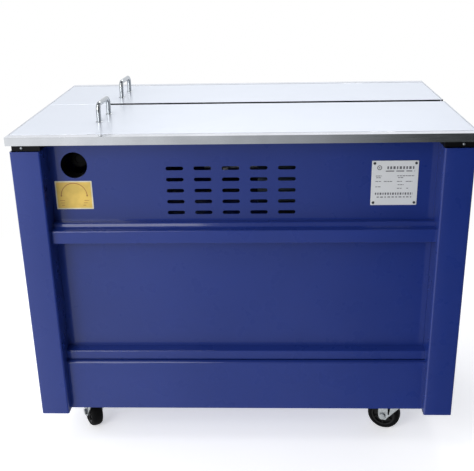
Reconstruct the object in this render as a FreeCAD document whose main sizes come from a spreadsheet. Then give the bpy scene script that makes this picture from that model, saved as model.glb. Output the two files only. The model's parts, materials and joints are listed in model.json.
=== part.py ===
"""Semi automatic strapping machine: a wheeled sheet-metal cabinet under a two-leaf table.

The strap comes off the reel in the lower bay, passes the rollers on the deck and the sealing head,
and loops over the table through the slot between the two leaves.

Frame: millimetres, +Z up, origin on the floor under the middle of the table. +X runs along the table to
its open slot end, -Y faces the service side (vents and tension hole), and +Y faces the operator side
(controls and door).
"""

import FreeCAD, Part

import math
import os
import re

import Sketcher

V = FreeCAD.Vector
DOC = FreeCAD.newDocument("strapping_machine")
SHEET = DOC.addObject("Spreadsheet::Sheet", "dims")
NODES = []
SIDES = ("-", "")
HANDLE_TURN = -4

DIMENSIONS = {
    # table
    "table_len": 900,
    "table_wid": 580,
    "table_high": 735,
    "rim_deep": 16.5,
    "rim_strip": 19.7,
    "rim_wall": 3,
    "ledge_reach": 43,
    "ledge_side": 25,
    "leaf_fold": 10,
    "leaf_play": 0.5,
    "leaf_seam": 1,
    "slot_start": -310,
    "slot_mid": 27.5,
    "slot_wide": 20,
    # table hinges
    "hinge_line": 267.5,
    "hinge_pos": 270,
    "knuckle_rad": 2.5,
    "knuckle_len": 16,
    "pin_rad": 1.25,
    "pin_play": 0.05,
    # lift handles
    "handle_pos": -291,
    "handle_span": 77,
    "handle_rise": 35.5,
    "handle_bend": 9,
    "handle_rad": 5,
    "handle_nut": 3,
    "service_handle_mid": -118.5,
    "operator_handle_mid": 148.5,
    # cabinet
    "sheet": 2,
    "post_x": 448.5,
    "post_y": 276,
    "post_wide": 60,
    "post_return": 29,
    "post_foot": 108,
    "post_top": 703,
    "stile_leg": 20,
    "panel_y": 223,
    "panel_split": 541.7,
    "rail_y": 260,
    "rail_low": 504.5,
    "rail_high": 532.6,
    "rail_step": 243,
    "rail_crest": 236.5,
    "sill_y": 243,
    "sill_low": 226,
    "sill_high": 247.2,
    "sill_back": 250.7,
    "skirt_y": 252,
    "skirt_high": 222.7,
    "ring_x": 445,
    "ring_y": 270,
    "ring_bar": 30,
    "side_x": 438.5,
    "base_high": 25,
    "base_bar": 40,
    # vents and holes
    "vent_long": 35.5,
    "vent_high": 7.8,
    "vent_first": -135,
    "vent_low": 559,
    "vent_step_x": 56.5,
    "vent_step_z": 23.4,
    "vent_count": 5,
    "side_vent_count": 3,
    "tension_x": -338,
    "tension_z": 661,
    "tension_hole": 27,
    # reel door
    "door_half": 386,
    "door_low": 252,
    "door_high": 502,
    "door_y": 222,
    "door_pin_x": -383,
    "door_pin_y": 227.5,
    # casters
    "caster_x": 347,
    "caster_y": 169,
    "caster_out": 7,
    "caster_fore": 7,
    "wheel_rad": 37.5,
    "wheel_wide": 28,
    "caster_trail": 25,
    "axle_rad": 4,
    "run_play": 0.05,
    # deck and head
    "deck_low": 520,
    "deck_thick": 3,
    "shaft_z": 585,
    "cam_pos": 45,
    "cam_rad": 16,
    "cam_throw": 6,
    "slider_wide": 20,
    "slider_low": 607.5,
    "slider_high": 711,
    "anvil_low": 721.5,
    "anvil_thick": 3,
    # drive
    "pulley_x": 174,
    "pulley_wide": 16,
    "big_pulley": 40,
    "small_pulley": 20,
    "motor_y": -110,
    "motor_rad": 45,
    "belt_thick": 3,
    "belt_play": 0.3,
    # feed
    "feed_x": -215,
    "feed_z": 610,
    "feed_rad": 25,
    "pinch_rad": 20,
    "nip": 0.4,
    # reel
    "reel_x": -30,
    "reel_z": 320,
    "flange_rad": 170,
    "hub_rad": 100,
    "reel_shaft": 12,
    # controls
    "panel_mid_x": -220,
    "panel_mid_z": 625,
    "control_z": 655,
}


def fill_sheet():
    """Enter every dimension in the sheet: its name, its value and its alias."""
    for row, (name, size) in enumerate(DIMENSIONS.items(), start=1):
        SHEET.set(f"A{row}", name)
        SHEET.set(f"B{row}", str(size))
        SHEET.setAlias(f"B{row}", name)
    DOC.recompute()


def formula(text):
    """Turn a formula in dimension names into an expression on the sheet."""
    return re.sub(r"[a-z_]+", lambda word: "dims." + word.group(), str(text))


def number(text):
    """The present value of a formula."""
    return float(SHEET.evalExpression(formula(text)))


def bind(thing, prop, text):
    """Drive a property from the sheet, or set it where the formula is a plain number."""
    thing.setExpression(prop, formula(text))


def place(thing, at, turn_axis=None, turn=0):
    """Bind a thing's place; it may also be turned about an axis by a number of degrees."""
    if turn_axis is not None:
        thing.Placement = FreeCAD.Placement(V(), FreeCAD.Rotation(turn_axis, turn))
    for axis, text in zip("xyz", at):
        bind(thing, f"Placement.Base.{axis}", text)
    return thing


def node(thing, name):
    """Mark a finished thing as a sub-part; its label names its file."""
    thing.Label = name
    NODES.append(thing)
    return thing


# ---------------------------------------------------------------- primitives


def block(at, size):
    """A box centred on a point."""
    box = DOC.addObject("Part::Box", "block")
    for prop, text in zip(("Length", "Width", "Height"), size):
        bind(box, prop, text)
    return place(box, [f"{mid} - ({span})/2" for mid, span in zip(at, size)])


def span_block(low, high):
    """A box between two corners."""
    box = DOC.addObject("Part::Box", "block")
    for prop, near, far in zip(("Length", "Width", "Height"), low, high):
        bind(box, prop, f"({far}) - ({near})")
    return place(box, low)


AXIS_TURN = {"X": (V(0, 1, 0), 90), "Y": (V(1, 0, 0), -90), "Z": (V(0, 0, 1), 0)}


def rod(start, radius, length, axis):
    """A cylinder that runs from a point in an axis direction."""
    cylinder = DOC.addObject("Part::Cylinder", "rod")
    bind(cylinder, "Radius", radius)
    bind(cylinder, "Height", length)
    return place(cylinder, start, *AXIS_TURN[axis])


def cut(base, tool):
    """The base less the tool."""
    result = DOC.addObject("Part::Cut", "cut")
    result.Base = base
    result.Tool = tool
    return result


def fuse(*things):
    """Several overlapping or touching things as one solid."""
    result = DOC.addObject("Part::MultiFuse", "fuse")
    result.Shapes = list(things)
    result.Refine = True
    return result


def group(*things):
    """Separate solids that make up one sub-part."""
    result = DOC.addObject("Part::Compound", "group")
    result.Links = list(things)
    return result


def tube(start, outer, inner, length, axis):
    """A round tube or ring."""
    return cut(rod(start, outer, length, axis), rod(start, inner, length, axis))


def box_tube(at, size, run):
    """A square tube centred on a point, open along its run axis."""
    bore = [text if axis == run else f"{text} - 2*sheet" for axis, text in zip("XYZ", size)]
    return cut(block(at, size), block(at, bore))


# ---------------------------------------------------------------- bodies


def new_sketch(body, plane):
    """An empty sketch on one of the body's own origin planes."""
    sketch = body.newObject("Sketcher::SketchObject", "outline")
    origin = [item for item in body.Origin.OriginFeatures if item.Role == plane][0]
    sketch.AttachmentSupport = [(origin, "")]
    sketch.MapMode = "FlatFace"
    return sketch


def pin_point(sketch, edge, end, texts):
    """Hold one point of a sketch at a formula's place from the sketch's origin."""
    for kind, text in zip(("DistanceX", "DistanceY"), texts):
        index = sketch.addConstraint(Sketcher.Constraint(kind, -1, 1, edge, end, number(text)))
        sketch.setExpression(f"Constraints[{index}]", formula(text))


def draw_polygon(sketch, points):
    """A closed polygon, with each corner held by two formulas."""
    corners = [V(number(across), number(up), 0) for across, up in points]
    first = sketch.GeometryCount
    for index, corner in enumerate(corners):
        after = corners[(index + 1) % len(corners)]
        sketch.addGeometry(Part.LineSegment(corner, after), False)
    for index, texts in enumerate(points):
        after = first + (index + 1) % len(points)
        sketch.addConstraint(Sketcher.Constraint("Coincident", first + index, 2, after, 1))
        pin_point(sketch, first + index, 1, texts)


def draw_circle(sketch, centre, radius):
    """A circle with its centre and radius held by formulas."""
    middle = V(number(centre[0]), number(centre[1]), 0)
    edge = sketch.addGeometry(Part.Circle(middle, V(0, 0, 1), number(radius)), False)
    pin_point(sketch, edge, 3, centre)
    index = sketch.addConstraint(Sketcher.Constraint("Radius", edge, number(radius)))
    sketch.setExpression(f"Constraints[{index}]", formula(radius))


def pad(body, plane, points, length, holes=(), middle=False):
    """Pad a polygon, less any circular holes, out of a plane."""
    sketch = new_sketch(body, plane)
    draw_polygon(sketch, points)
    for centre, radius in holes:
        draw_circle(sketch, centre, radius)
    feature = body.newObject("PartDesign::Pad", "pad")
    feature.Profile = sketch
    feature.SideType = "Symmetric" if middle else "One side"
    bind(feature, "Length", length)
    return feature


def folded(plane, points, length, at=(0, 0, 0), holes=(), middle=True):
    """A body of constant section: a folded sheet, a rail or a plate."""
    body = DOC.addObject("PartDesign::Body", "folded")
    pad(body, plane, points, length, holes, middle)
    return place(body, at)


def turned(outline, axis, at):
    """A body turned about an axis, from (radius, distance along the axis) corners."""
    body = DOC.addObject("PartDesign::Body", "turned")
    sketch = new_sketch(body, "XY_Plane" if axis == "Y" else "XZ_Plane")
    if axis == "X":
        outline = [(along, radius) for radius, along in outline]
    draw_polygon(sketch, outline)
    feature = body.newObject("PartDesign::Revolution", "turn")
    feature.Profile = sketch
    feature.ReferenceAxis = (sketch, ["H_Axis" if axis == "X" else "V_Axis"])
    feature.Angle = 360
    return place(body, at)


def rectangle(across, up):
    """The corners of a rectangle between two (low, high) pairs."""
    return [
        (across[0], up[0]),
        (across[1], up[0]),
        (across[1], up[1]),
        (across[0], up[1]),
    ]


def vent_pockets(body, plane, first, counts, last_pad):
    """Cut a grid of round-ended vent slots through a plate that stands in a plane."""
    sketch = new_sketch(body, plane)
    half = "(vent_long - vent_high)/2"
    across, up = first
    ends = [(f"{across} + {half}", up), (f"{across} - {half}", up)]
    arcs = []
    for (side, height), begin in zip(ends, (-math.pi / 2, math.pi / 2)):
        circle = Part.Circle(V(number(side), number(height), 0), V(0, 0, 1), number("vent_high/2"))
        arcs.append(sketch.addGeometry(Part.ArcOfCircle(circle, begin, begin + math.pi), False))
        pin_point(sketch, arcs[-1], 3, (side, height))
    lines = []
    for this, other in (arcs, arcs[::-1]):
        start = sketch.getPoint(this, 2)
        end = sketch.getPoint(other, 1)
        lines.append(sketch.addGeometry(Part.LineSegment(start, end), False))
        sketch.addConstraint(Sketcher.Constraint("Tangent", this, 2, lines[-1], 1))
        sketch.addConstraint(Sketcher.Constraint("Tangent", lines[-1], 2, other, 1))
    index = sketch.addConstraint(Sketcher.Constraint("Radius", arcs[0], number("vent_high/2")))
    sketch.setExpression(f"Constraints[{index}]", formula("vent_high/2"))
    pocket = body.newObject("PartDesign::Pocket", "vent")
    pocket.Profile = sketch
    pocket.SideType = "Symmetric"
    bind(pocket, "Length", "4*sheet")
    pattern = body.newObject("PartDesign::LinearPattern", "vents")
    pattern.Originals = [pocket]
    pattern.Direction = (sketch, ["H_Axis"])
    bind(pattern, "Length", f"vent_step_x*({counts[0]} - 1)")
    bind(pattern, "Occurrences", counts[0])
    pattern.Direction2 = (sketch, ["V_Axis"])
    bind(pattern, "Length2", f"vent_step_z*({counts[1]} - 1)")
    bind(pattern, "Occurrences2", counts[1])
    body.Tip = pattern
    DOC.recompute()
    if body.Shape.Volume >= last_pad.Shape.Volume:
        raise SystemExit("the vents cut nothing")


# ---------------------------------------------------------------- cabinet


def build_base():
    """The welded ring of square tube that the posts and casters are fixed to, and the floor pan."""
    mid_z = "post_foot + base_high/2"
    members = []
    for s in SIDES:
        at = ("0", f"{s}(panel_y + 3)", mid_z)
        members.append(box_tube(at, ("2*(post_x - sheet)", "base_bar", "base_high"), "X"))
        at = (f"{s}(post_x - sheet - base_bar/2)", "0", mid_z)
        members.append(box_tube(at, ("base_bar", "2*(panel_y - 17)", "base_high"), "Y"))
        for sy in SIDES:
            at = (f"{s}(post_x - 73)", f"{sy}(panel_y - 40)", "post_foot - 2")
            members.append(block(at, ("142", "126", "4")))
    pan = block(("0", "0", "post_foot + base_high + 1"), ("732", "434", "sheet"))
    node(group(*members, pan), "base_frame")


def build_posts():
    """Folded corner posts, and the angle beside each one that the panels are screwed to."""
    members = []
    for sx in SIDES:
        for sy in SIDES:

            def corner(u, v):
                return (f"{sx}(post_x - ({u}))", f"{sy}(post_y - ({v}))")

            post = [
                corner("0", "0"),
                corner("post_wide", "0"),
                corner("post_wide", "post_return"),
                corner("post_wide - sheet", "post_return"),
                corner("post_wide - sheet", "sheet"),
                corner("sheet", "sheet"),
                corner("sheet", "post_wide"),
                corner("0", "post_wide"),
            ]
            members.append(
                folded("XY_Plane", post, "post_top - post_foot", ("0", "0", "post_foot"), middle=False)
            )
            deep = "post_y - panel_y + 2*sheet"
            stile = [
                corner("post_wide", "post_return"),
                corner("post_wide", f"{deep} - sheet"),
                corner("post_wide + stile_leg", f"{deep} - sheet"),
                corner("post_wide + stile_leg", deep),
                corner("post_wide - sheet", deep),
                corner("post_wide - sheet", "post_return"),
            ]
            foot = "post_foot + base_high"
            members.append(
                folded("XY_Plane", stile, f"post_top - ({foot})", ("0", "0", foot), middle=False)
            )
    node(group(*members), "corner_posts")


INNER_HALF = "(post_x - post_wide)"


def rail_section(s, front, low, high, back):
    """A folded rail: front face, top sloping back to the panel, and a bottom lip. (y, z) corners."""
    return [
        (f"{s}({front})", low),
        (f"{s}({front})", high),
        (f"{s}(panel_y)", back),
        (f"{s}(panel_y)", f"{back} - sheet"),
        (f"{s}({front} - sheet)", f"{high} - sheet"),
        (f"{s}({front} - sheet)", f"{low} + sheet"),
        (f"{s}(panel_y)", f"{low} + sheet"),
        (f"{s}(panel_y)", low),
    ]


def lipped_section(s):
    """The middle rail: nearly flat on top, with a steep lip up to the panel behind. (y, z) corners."""
    corners = [
        ("rail_y", "rail_low"),
        ("rail_y", "rail_high"),
        ("rail_step", "rail_high + 1"),
        ("rail_crest", "panel_split"),
        ("panel_y", "panel_split"),
        ("panel_y", "panel_split - sheet"),
        ("rail_crest - 0.9", "panel_split - sheet"),
        ("rail_step - 0.9", "rail_high + 1 - sheet"),
        ("rail_y - sheet", "rail_high - sheet"),
        ("rail_y - sheet", "rail_low + sheet"),
        ("panel_y", "rail_low + sheet"),
        ("panel_y", "rail_low"),
    ]
    return [(f"{s}({along})", high) for along, high in corners]


def build_rails():
    """The middle and lower rails of both long sides, and the skirts below them."""
    rails = []
    skirts = []
    for s in SIDES:
        mid = lipped_section(s)
        sill = rail_section(s, "sill_y", "sill_low", "sill_high", "sill_back")
        rails.append(folded("YZ_Plane", mid, f"2*{INNER_HALF}"))
        rails.append(folded("YZ_Plane", sill, f"2*{INNER_HALF}"))
        skirt = [
            (f"{s}skirt_y", "post_foot"),
            (f"{s}skirt_y", "skirt_high"),
            (f"{s}sill_y", "sill_low"),
            (f"{s}sill_y", "sill_low - 1.5*sheet"),
            (f"{s}(skirt_y - sheet)", "skirt_high - 0.8*sheet"),
            (f"{s}(skirt_y - sheet)", "post_foot"),
        ]
        skirts.append(folded("YZ_Plane", skirt, f"2*{INNER_HALF}"))
    kick_low = (f"-{INNER_HALF}", "panel_y - sheet", "post_foot + base_high")
    skirts.append(span_block(kick_low, (INNER_HALF, "panel_y", "sill_low")))
    node(group(*rails), "cross_rails")
    node(group(*skirts), "lower_skirts")


def build_panels():
    """The recessed panels of the service side, the operator's upper panel and the two sides."""
    upper = DOC.addObject("PartDesign::Body", "service_upper")
    outline = rectangle((f"-{INNER_HALF}", INNER_HALF), ("panel_split", "table_high - rim_deep"))
    hole = [(("tension_x", "tension_z"), "tension_hole")]
    plate = pad(upper, "XZ_Plane", outline, "sheet", hole, middle=True)
    vent_pockets(upper, "XZ_Plane", ("vent_first", "vent_low"), ("vent_count", "vent_count"), plate)
    place(upper, ("0", "-(panel_y - sheet/2)", "0"))
    node(upper, "service_upper_panel")

    low = (f"-{INNER_HALF}", "-panel_y", "post_foot + base_high")
    node(span_block(low, (INNER_HALF, "sheet - panel_y", "panel_split")), "service_lower_panel")

    controls = [((x, "control_z"), radius) for x, radius in CONTROL_HOLES]
    outline = rectangle((f"-{INNER_HALF}", INNER_HALF), ("rail_low", "table_high - rim_deep"))
    at = ("0", "panel_y - sheet/2", "0")
    sheet_panel = folded("XZ_Plane", outline, "sheet", at, controls)
    node(cut(sheet_panel, switch_window()), "operator_upper_panel")

    closed, drilled = [side_panel(s) for s in SIDES]
    gland_hole = rod(("side_x - 2*sheet", "150", "170"), "8 + run_play", "4*sheet", "X")
    node(group(closed, cut(drilled, gland_hole)), "side_panels")


def side_panel(s):
    """One end panel: a shallow hat section whose laps lie behind the posts, with a bank of vents."""
    body = DOC.addObject("PartDesign::Body", "side")
    lap = "(post_x - side_x - sheet)"
    near = "(post_y - post_wide)"
    half = [
        (lap, f"{near} - 4"),
        (lap, f"{near} + 24"),
        (f"{lap} - sheet", f"{near} + 24"),
        (f"{lap} - sheet", f"{near} - 2"),
        ("0 - sheet", f"{near} - 2"),
    ]
    outline = [("0", f"{near} - 4")] + half
    outline += [(across, f"-({along})") for across, along in reversed(half)]
    outline += [("0", f"4 - {near}")]
    outline = [(f"{s}({across})", along) for across, along in outline]
    foot = "(post_foot + base_high)"
    plate = pad(body, "XY_Plane", outline, f"post_top - {foot}")
    first = ("0 - vent_step_x*(side_vent_count - 1)/2", f"vent_low - {foot}")
    vent_pockets(body, "YZ_Plane", first, ("side_vent_count", "vent_count"), plate)
    return place(body, (f"{s}side_x", "0", foot))


# ---------------------------------------------------------------- table


def build_table_frame():
    """The capped bars over the posts, the tubes between them, and the stainless rim on top."""
    ring_z = "(post_top + table_high - rim_deep)/2"
    ring_high = "table_high - rim_deep - post_top"
    ring = []
    rim = []
    floor = "table_high - rim_deep"
    for s in SIDES:
        at = ("0", f"{s}(panel_y - sheet - ring_bar/2)", ring_z)
        ring.append(box_tube(at, (f"2*{INNER_HALF}", "ring_bar", ring_high), "X"))
        at = (f"{s}(ring_x + {INNER_HALF})/2", "0", ring_z)
        outside = (f"ring_x - {INNER_HALF}", "2*ring_y", ring_high)
        bore = [f"{text} - 2*sheet" for text in outside]
        ring.append(cut(block(at, outside), block(at, bore)))
        at = ("0", f"{s}(table_wid/2 - rim_strip/2)", f"{floor} + rim_deep/2")
        inside = ("table_len - 2*sheet", "rim_strip - 2*sheet", "rim_deep - 2*sheet")
        strip = cut(block(at, ("table_len", "rim_strip", "rim_deep")), block(at, inside))
        reach = "(ledge_reach - rim_strip)"
        at = ("0", f"{s}(table_wid/2 - rim_strip - {reach}/2)", f"{floor} + sheet/2")
        ledge = block(at, ("table_len - 2*ledge_side", reach, "sheet"))
        rim.append(fuse(strip, ledge))
    edge = "(table_wid/2 - rim_strip)"
    runs = [("-", f"-{edge}", edge)]
    runs.append(("", f"-{edge}", "slot_mid - slot_wide/2"))
    runs.append(("", "slot_mid + slot_wide/2", edge))
    for s, near, far in runs:
        angle = [
            (f"{s}table_len/2", "0"),
            (f"{s}table_len/2", "rim_deep"),
            (f"{s}(table_len/2 - rim_wall)", "rim_deep"),
            (f"{s}(table_len/2 - rim_wall)", "sheet"),
            (f"{s}(table_len/2 - ledge_side)", "sheet"),
            (f"{s}(table_len/2 - ledge_side)", "0"),
        ]
        at = ("0", f"({near} + {far})/2", floor)
        rim.append(folded("XZ_Plane", angle, f"{far} - ({near})", at))
    node(group(*ring), "table_support")
    node(group(*rim), "table_rim")


def handle_feet(handle_mid):
    """Where a lift handle's two legs stand; the handle is turned a little from the table's edge."""
    lean = f"handle_span/2*{math.sin(math.radians(-HANDLE_TURN)):.6f}"
    reach = f"handle_span/2*{math.cos(math.radians(HANDLE_TURN)):.6f}"
    return [
        (f"handle_pos - {lean}", f"{handle_mid} - {reach}"),
        (f"handle_pos + {lean}", f"{handle_mid} + {reach}"),
    ]


def leaf_outline(s, inset, hinge):
    """A leaf's outline; the strap slot notches its inner edge, and inset steps in from the edges."""
    away = s or "+"
    end = f"(table_len/2 - rim_wall - leaf_play - {inset})"
    seam = f"slot_mid {away} (leaf_seam/2 + {inset})"
    notch = f"slot_mid {away} (slot_wide/2 + {inset})"
    outer = f"{s}({hinge})"
    return [
        (f"-{end}", outer),
        (end, outer),
        (end, notch),
        (f"slot_start - {inset}", notch),
        (f"slot_start - {inset}", seam),
        (f"-{end}", seam),
    ]


def build_leaf(s, side, handle_mid):
    """One table leaf, its hinge leaves and its lift handle; they swing up together."""
    body = DOC.addObject("PartDesign::Body", "leaf")
    tray = pad(body, "XY_Plane", leaf_outline(s, "0", "hinge_line - 0.3"), "leaf_fold")
    sketch = new_sketch(body, "XY_Plane")
    draw_polygon(sketch, leaf_outline(s, "sheet", "hinge_line + 5"))
    hollow = body.newObject("PartDesign::Pocket", "hollow")
    hollow.Profile = sketch
    hollow.Reversed = True
    bind(hollow, "Length", "leaf_fold - sheet")
    DOC.recompute()
    if hollow.Shape.Volume >= 0.5 * tray.Shape.Volume:
        raise SystemExit("the leaf's underside wasn't hollowed")
    sketch = new_sketch(body, "XY_Plane")
    for sx in SIDES:
        gap = "(1.5*knuckle_len + 0.8)"
        across = (f"{sx}hinge_pos - {gap}", f"{sx}hinge_pos + {gap}")
        along = (f"{s}(hinge_line - knuckle_rad - 0.5)", f"{s}(hinge_line + 5)")
        draw_polygon(sketch, rectangle(across, along))
    for centre in handle_feet(handle_mid):
        draw_circle(sketch, centre, "handle_rad + pin_play")
    openings = body.newObject("PartDesign::Pocket", "openings")
    openings.Profile = sketch
    openings.Reversed = True
    bind(openings, "Length", "leaf_fold")
    DOC.recompute()
    if openings.Shape.Volume >= hollow.Shape.Volume:
        raise SystemExit("the leaf's hinge notches and handle holes weren't cut")
    place(body, ("0", "0", "table_high - leaf_fold"))
    hinges = []
    pin_z = "table_high - knuckle_rad"
    for sx in SIDES:
        start = (f"{sx}hinge_pos - knuckle_len/2", f"{s}hinge_line", pin_z)
        knuckle = rod(start, "knuckle_rad", "knuckle_len", "X")
        strap = block(
            (f"{sx}hinge_pos", f"{s}(hinge_line - 11)", "table_high - sheet - 1"),
            ("knuckle_len", "22", "2"),
        )
        bore = rod(start, "pin_rad + pin_play", "knuckle_len", "X")
        hinges.append(cut(fuse(knuckle, strap), bore))
    node(group(body, *hinges), f"{side}_table_leaf")

    handle = DOC.addObject("PartDesign::Body", "handle")
    path = new_sketch(handle, "YZ_Plane")
    half = "handle_span/2"
    foot = "(sheet + handle_nut)"
    top = f"({foot} + handle_rise)"
    corners = [
        (f"-{half}", "0"),
        (f"-{half}", f"{top} - handle_bend"),
        (f"handle_bend - {half}", top),
        (f"{half} - handle_bend", top),
        (half, f"{top} - handle_bend"),
        (half, "0"),
    ]
    points = [V(number(across), number(up), 0) for across, up in corners]
    bend = number("handle_bend")
    left = Part.Circle(V(points[1].x + bend, points[1].y, 0), V(0, 0, 1), bend)
    right = Part.Circle(V(points[4].x - bend, points[4].y, 0), V(0, 0, 1), bend)
    path.addGeometry(Part.LineSegment(points[0], points[1]), False)
    path.addGeometry(Part.ArcOfCircle(left, math.pi / 2, math.pi), False)
    path.addGeometry(Part.LineSegment(points[2], points[3]), False)
    path.addGeometry(Part.ArcOfCircle(right, 0, math.pi / 2), False)
    path.addGeometry(Part.LineSegment(points[4], points[5]), False)
    for this, this_end, other, other_end in ((0, 2, 1, 2), (1, 1, 2, 1), (2, 2, 3, 2), (3, 1, 4, 1)):
        path.addConstraint(Sketcher.Constraint("Tangent", this, this_end, other, other_end))
    pin_point(path, 0, 1, corners[0])
    pin_point(path, 0, 2, corners[1])
    pin_point(path, 2, 1, corners[2])
    pin_point(path, 4, 1, corners[4])
    pin_point(path, 4, 2, corners[5])
    section = new_sketch(handle, "XY_Plane")
    draw_circle(section, ("0", f"-{half}"), "handle_rad")
    pipe = handle.newObject("PartDesign::AdditivePipe", "bar")
    pipe.Profile = section
    pipe.Spine = path
    place(handle, ("handle_pos", handle_mid, f"table_high - {foot}"), V(0, 0, 1), HANDLE_TURN)
    nuts = [
        rod((*centre, f"table_high - {foot}"), "9", "handle_nut", "Z")
        for centre in handle_feet(handle_mid)
    ]
    node(fuse(handle, *nuts), f"{side}_table_handle")


def build_table_hinges():
    """The fixed hinge leaves on the rim's inner walls, with their pins."""
    fixed = []
    pin_z = "table_high - knuckle_rad"
    for s in SIDES:
        for sx in SIDES:
            for end in "-+":
                start_x = f"{sx}hinge_pos {end} (knuckle_len + 0.3) - knuckle_len/2"
                start = (start_x, f"{s}hinge_line", pin_z)
                knuckle = rod(start, "knuckle_rad", "knuckle_len", "X")
                wall = block(
                    (
                        f"{start_x} + knuckle_len/2",
                        f"{s}(hinge_line + 2.05)",
                        f"{pin_z} - 5.5",
                    ),
                    ("knuckle_len", "1.5", "11"),
                )
                fixed.append(cut(fuse(knuckle, wall), rod(start, "pin_rad", "knuckle_len", "X")))
            start = (f"{sx}hinge_pos - 1.5*knuckle_len - 0.3", f"{s}hinge_line", pin_z)
            fixed.append(rod(start, "pin_rad", "3*knuckle_len + 0.6", "X"))
    node(group(*fixed), "table_hinges")


# ---------------------------------------------------------------- service side trim


def build_trim():
    """The blank data plate, the tension label and the screws that show."""
    face = "-(panel_y + 0.5)"
    node(block(("306", face, "619"), ("92.5", "1", "92.5")), "nameplate")
    node(block(("-343", "-(panel_y + 0.2)", "598"), ("76", "0.4", "60")), "tension_label")
    screws = []
    for x in ("-1", "1"):
        for z in ("-1", "1"):
            at = (f"306 + {x}*41", "-(panel_y + 2.5)", f"619 + {z}*41")
            screws.append(rod(at, "2.6", "1.5", "Y"))
            at = (f"panel_mid_x + {x}*102", "panel_y + sheet", f"panel_mid_z + {z}*52")
            screws.append(rod(at, "2.6", "1.5", "Y"))
    for sx in SIDES:
        screws.append(rod((f"{sx}425", "-(ring_y + 2)", "709"), "3", "2", "Y"))
        screws.append(rod((f"{sx}425", "ring_y", "709"), "3", "2", "Y"))
    node(group(*screws), "panel_screws")


# ---------------------------------------------------------------- reel door


def build_door():
    """The reel door, its hinges and its pull handle."""
    sheet_low = ("-door_half", "door_y", "door_low")
    sheet_high = ("door_half", "door_y + sheet", "door_high")
    skin = span_block(sheet_low, sheet_high)
    ribs = [
        block(("0", "door_y - 6", z), ("2*(door_half - 26)", "12", "18"))
        for z in ("door_low + 30", "door_high - 30")
    ]
    moving = []
    fixed = []
    for z in ("door_low + 50", "door_high - 50"):
        start = ("door_pin_x", "door_pin_y", f"{z} - 12")
        leaf = span_block(
            ("door_pin_x", "door_y + sheet", f"{z} - 12"),
            ("door_pin_x + 26", "door_y + sheet + 1.5", f"{z} + 12"),
        )
        moving.append(cut(fuse(rod(start, "3.4", "24", "Z"), leaf), rod(start, "1.55", "24", "Z")))
        for low in (f"{z} - 36.3", f"{z} + 12.3"):
            start = ("door_pin_x", "door_pin_y", low)
            wing = span_block(
                (f"-{INNER_HALF}", "door_pin_y + 1", low),
                ("door_pin_x", "door_pin_y + 3", f"{low} + 24"),
            )
            wing_wall = span_block(
                (f"-{INNER_HALF}", "door_pin_y + 1", low),
                (f"1.5 - {INNER_HALF}", "door_pin_y + 17", f"{low} + 24"),
            )
            barrel = fuse(rod(start, "3.4", "24", "Z"), wing, wing_wall)
            fixed.append(cut(barrel, rod(start, "1.5", "24", "Z")))
        fixed.append(rod(("door_pin_x", "door_pin_y", f"{z} - 36.3"), "1.5", "72.6", "Z"))
    node(group(fuse(skin, *ribs), *moving), "reel_door")
    node(group(*fixed), "door_hinges")
    pull = []
    for z in ("-1", "1"):
        pull.append(block(("350", "door_y + sheet + 10", f"380 + {z}*44"), ("12", "20", "12")))
    pull.append(block(("350", "door_y + sheet + 23", "380"), ("12", "6", "100")))
    node(fuse(*pull), "door_handle")


# ---------------------------------------------------------------- deck, head and drive


def build_deck():
    """The deck that carries the head and drive, on two angle bearers."""
    members = [
        cut(
            block(("0", "0", "deck_low + deck_thick/2"), ("772", "434", "deck_thick")),
            block(("-270", "slot_mid", "deck_low + deck_thick/2"), ("40", "22", "3*deck_thick")),
        )
    ]
    for s in SIDES:
        bearer = [
            (f"{s}(panel_y - 2*sheet)", "deck_low"),
            (f"{s}(panel_y - 2*sheet - 20)", "deck_low"),
            (f"{s}(panel_y - 2*sheet - 20)", "deck_low - sheet"),
            (f"{s}(panel_y - 3*sheet)", "deck_low - sheet"),
            (f"{s}(panel_y - 3*sheet)", "deck_low - 20"),
            (f"{s}(panel_y - 2*sheet)", "deck_low - 20"),
        ]
        members.append(folded("YZ_Plane", bearer, "772"))
    node(group(*members), "mechanism_deck")


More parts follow.
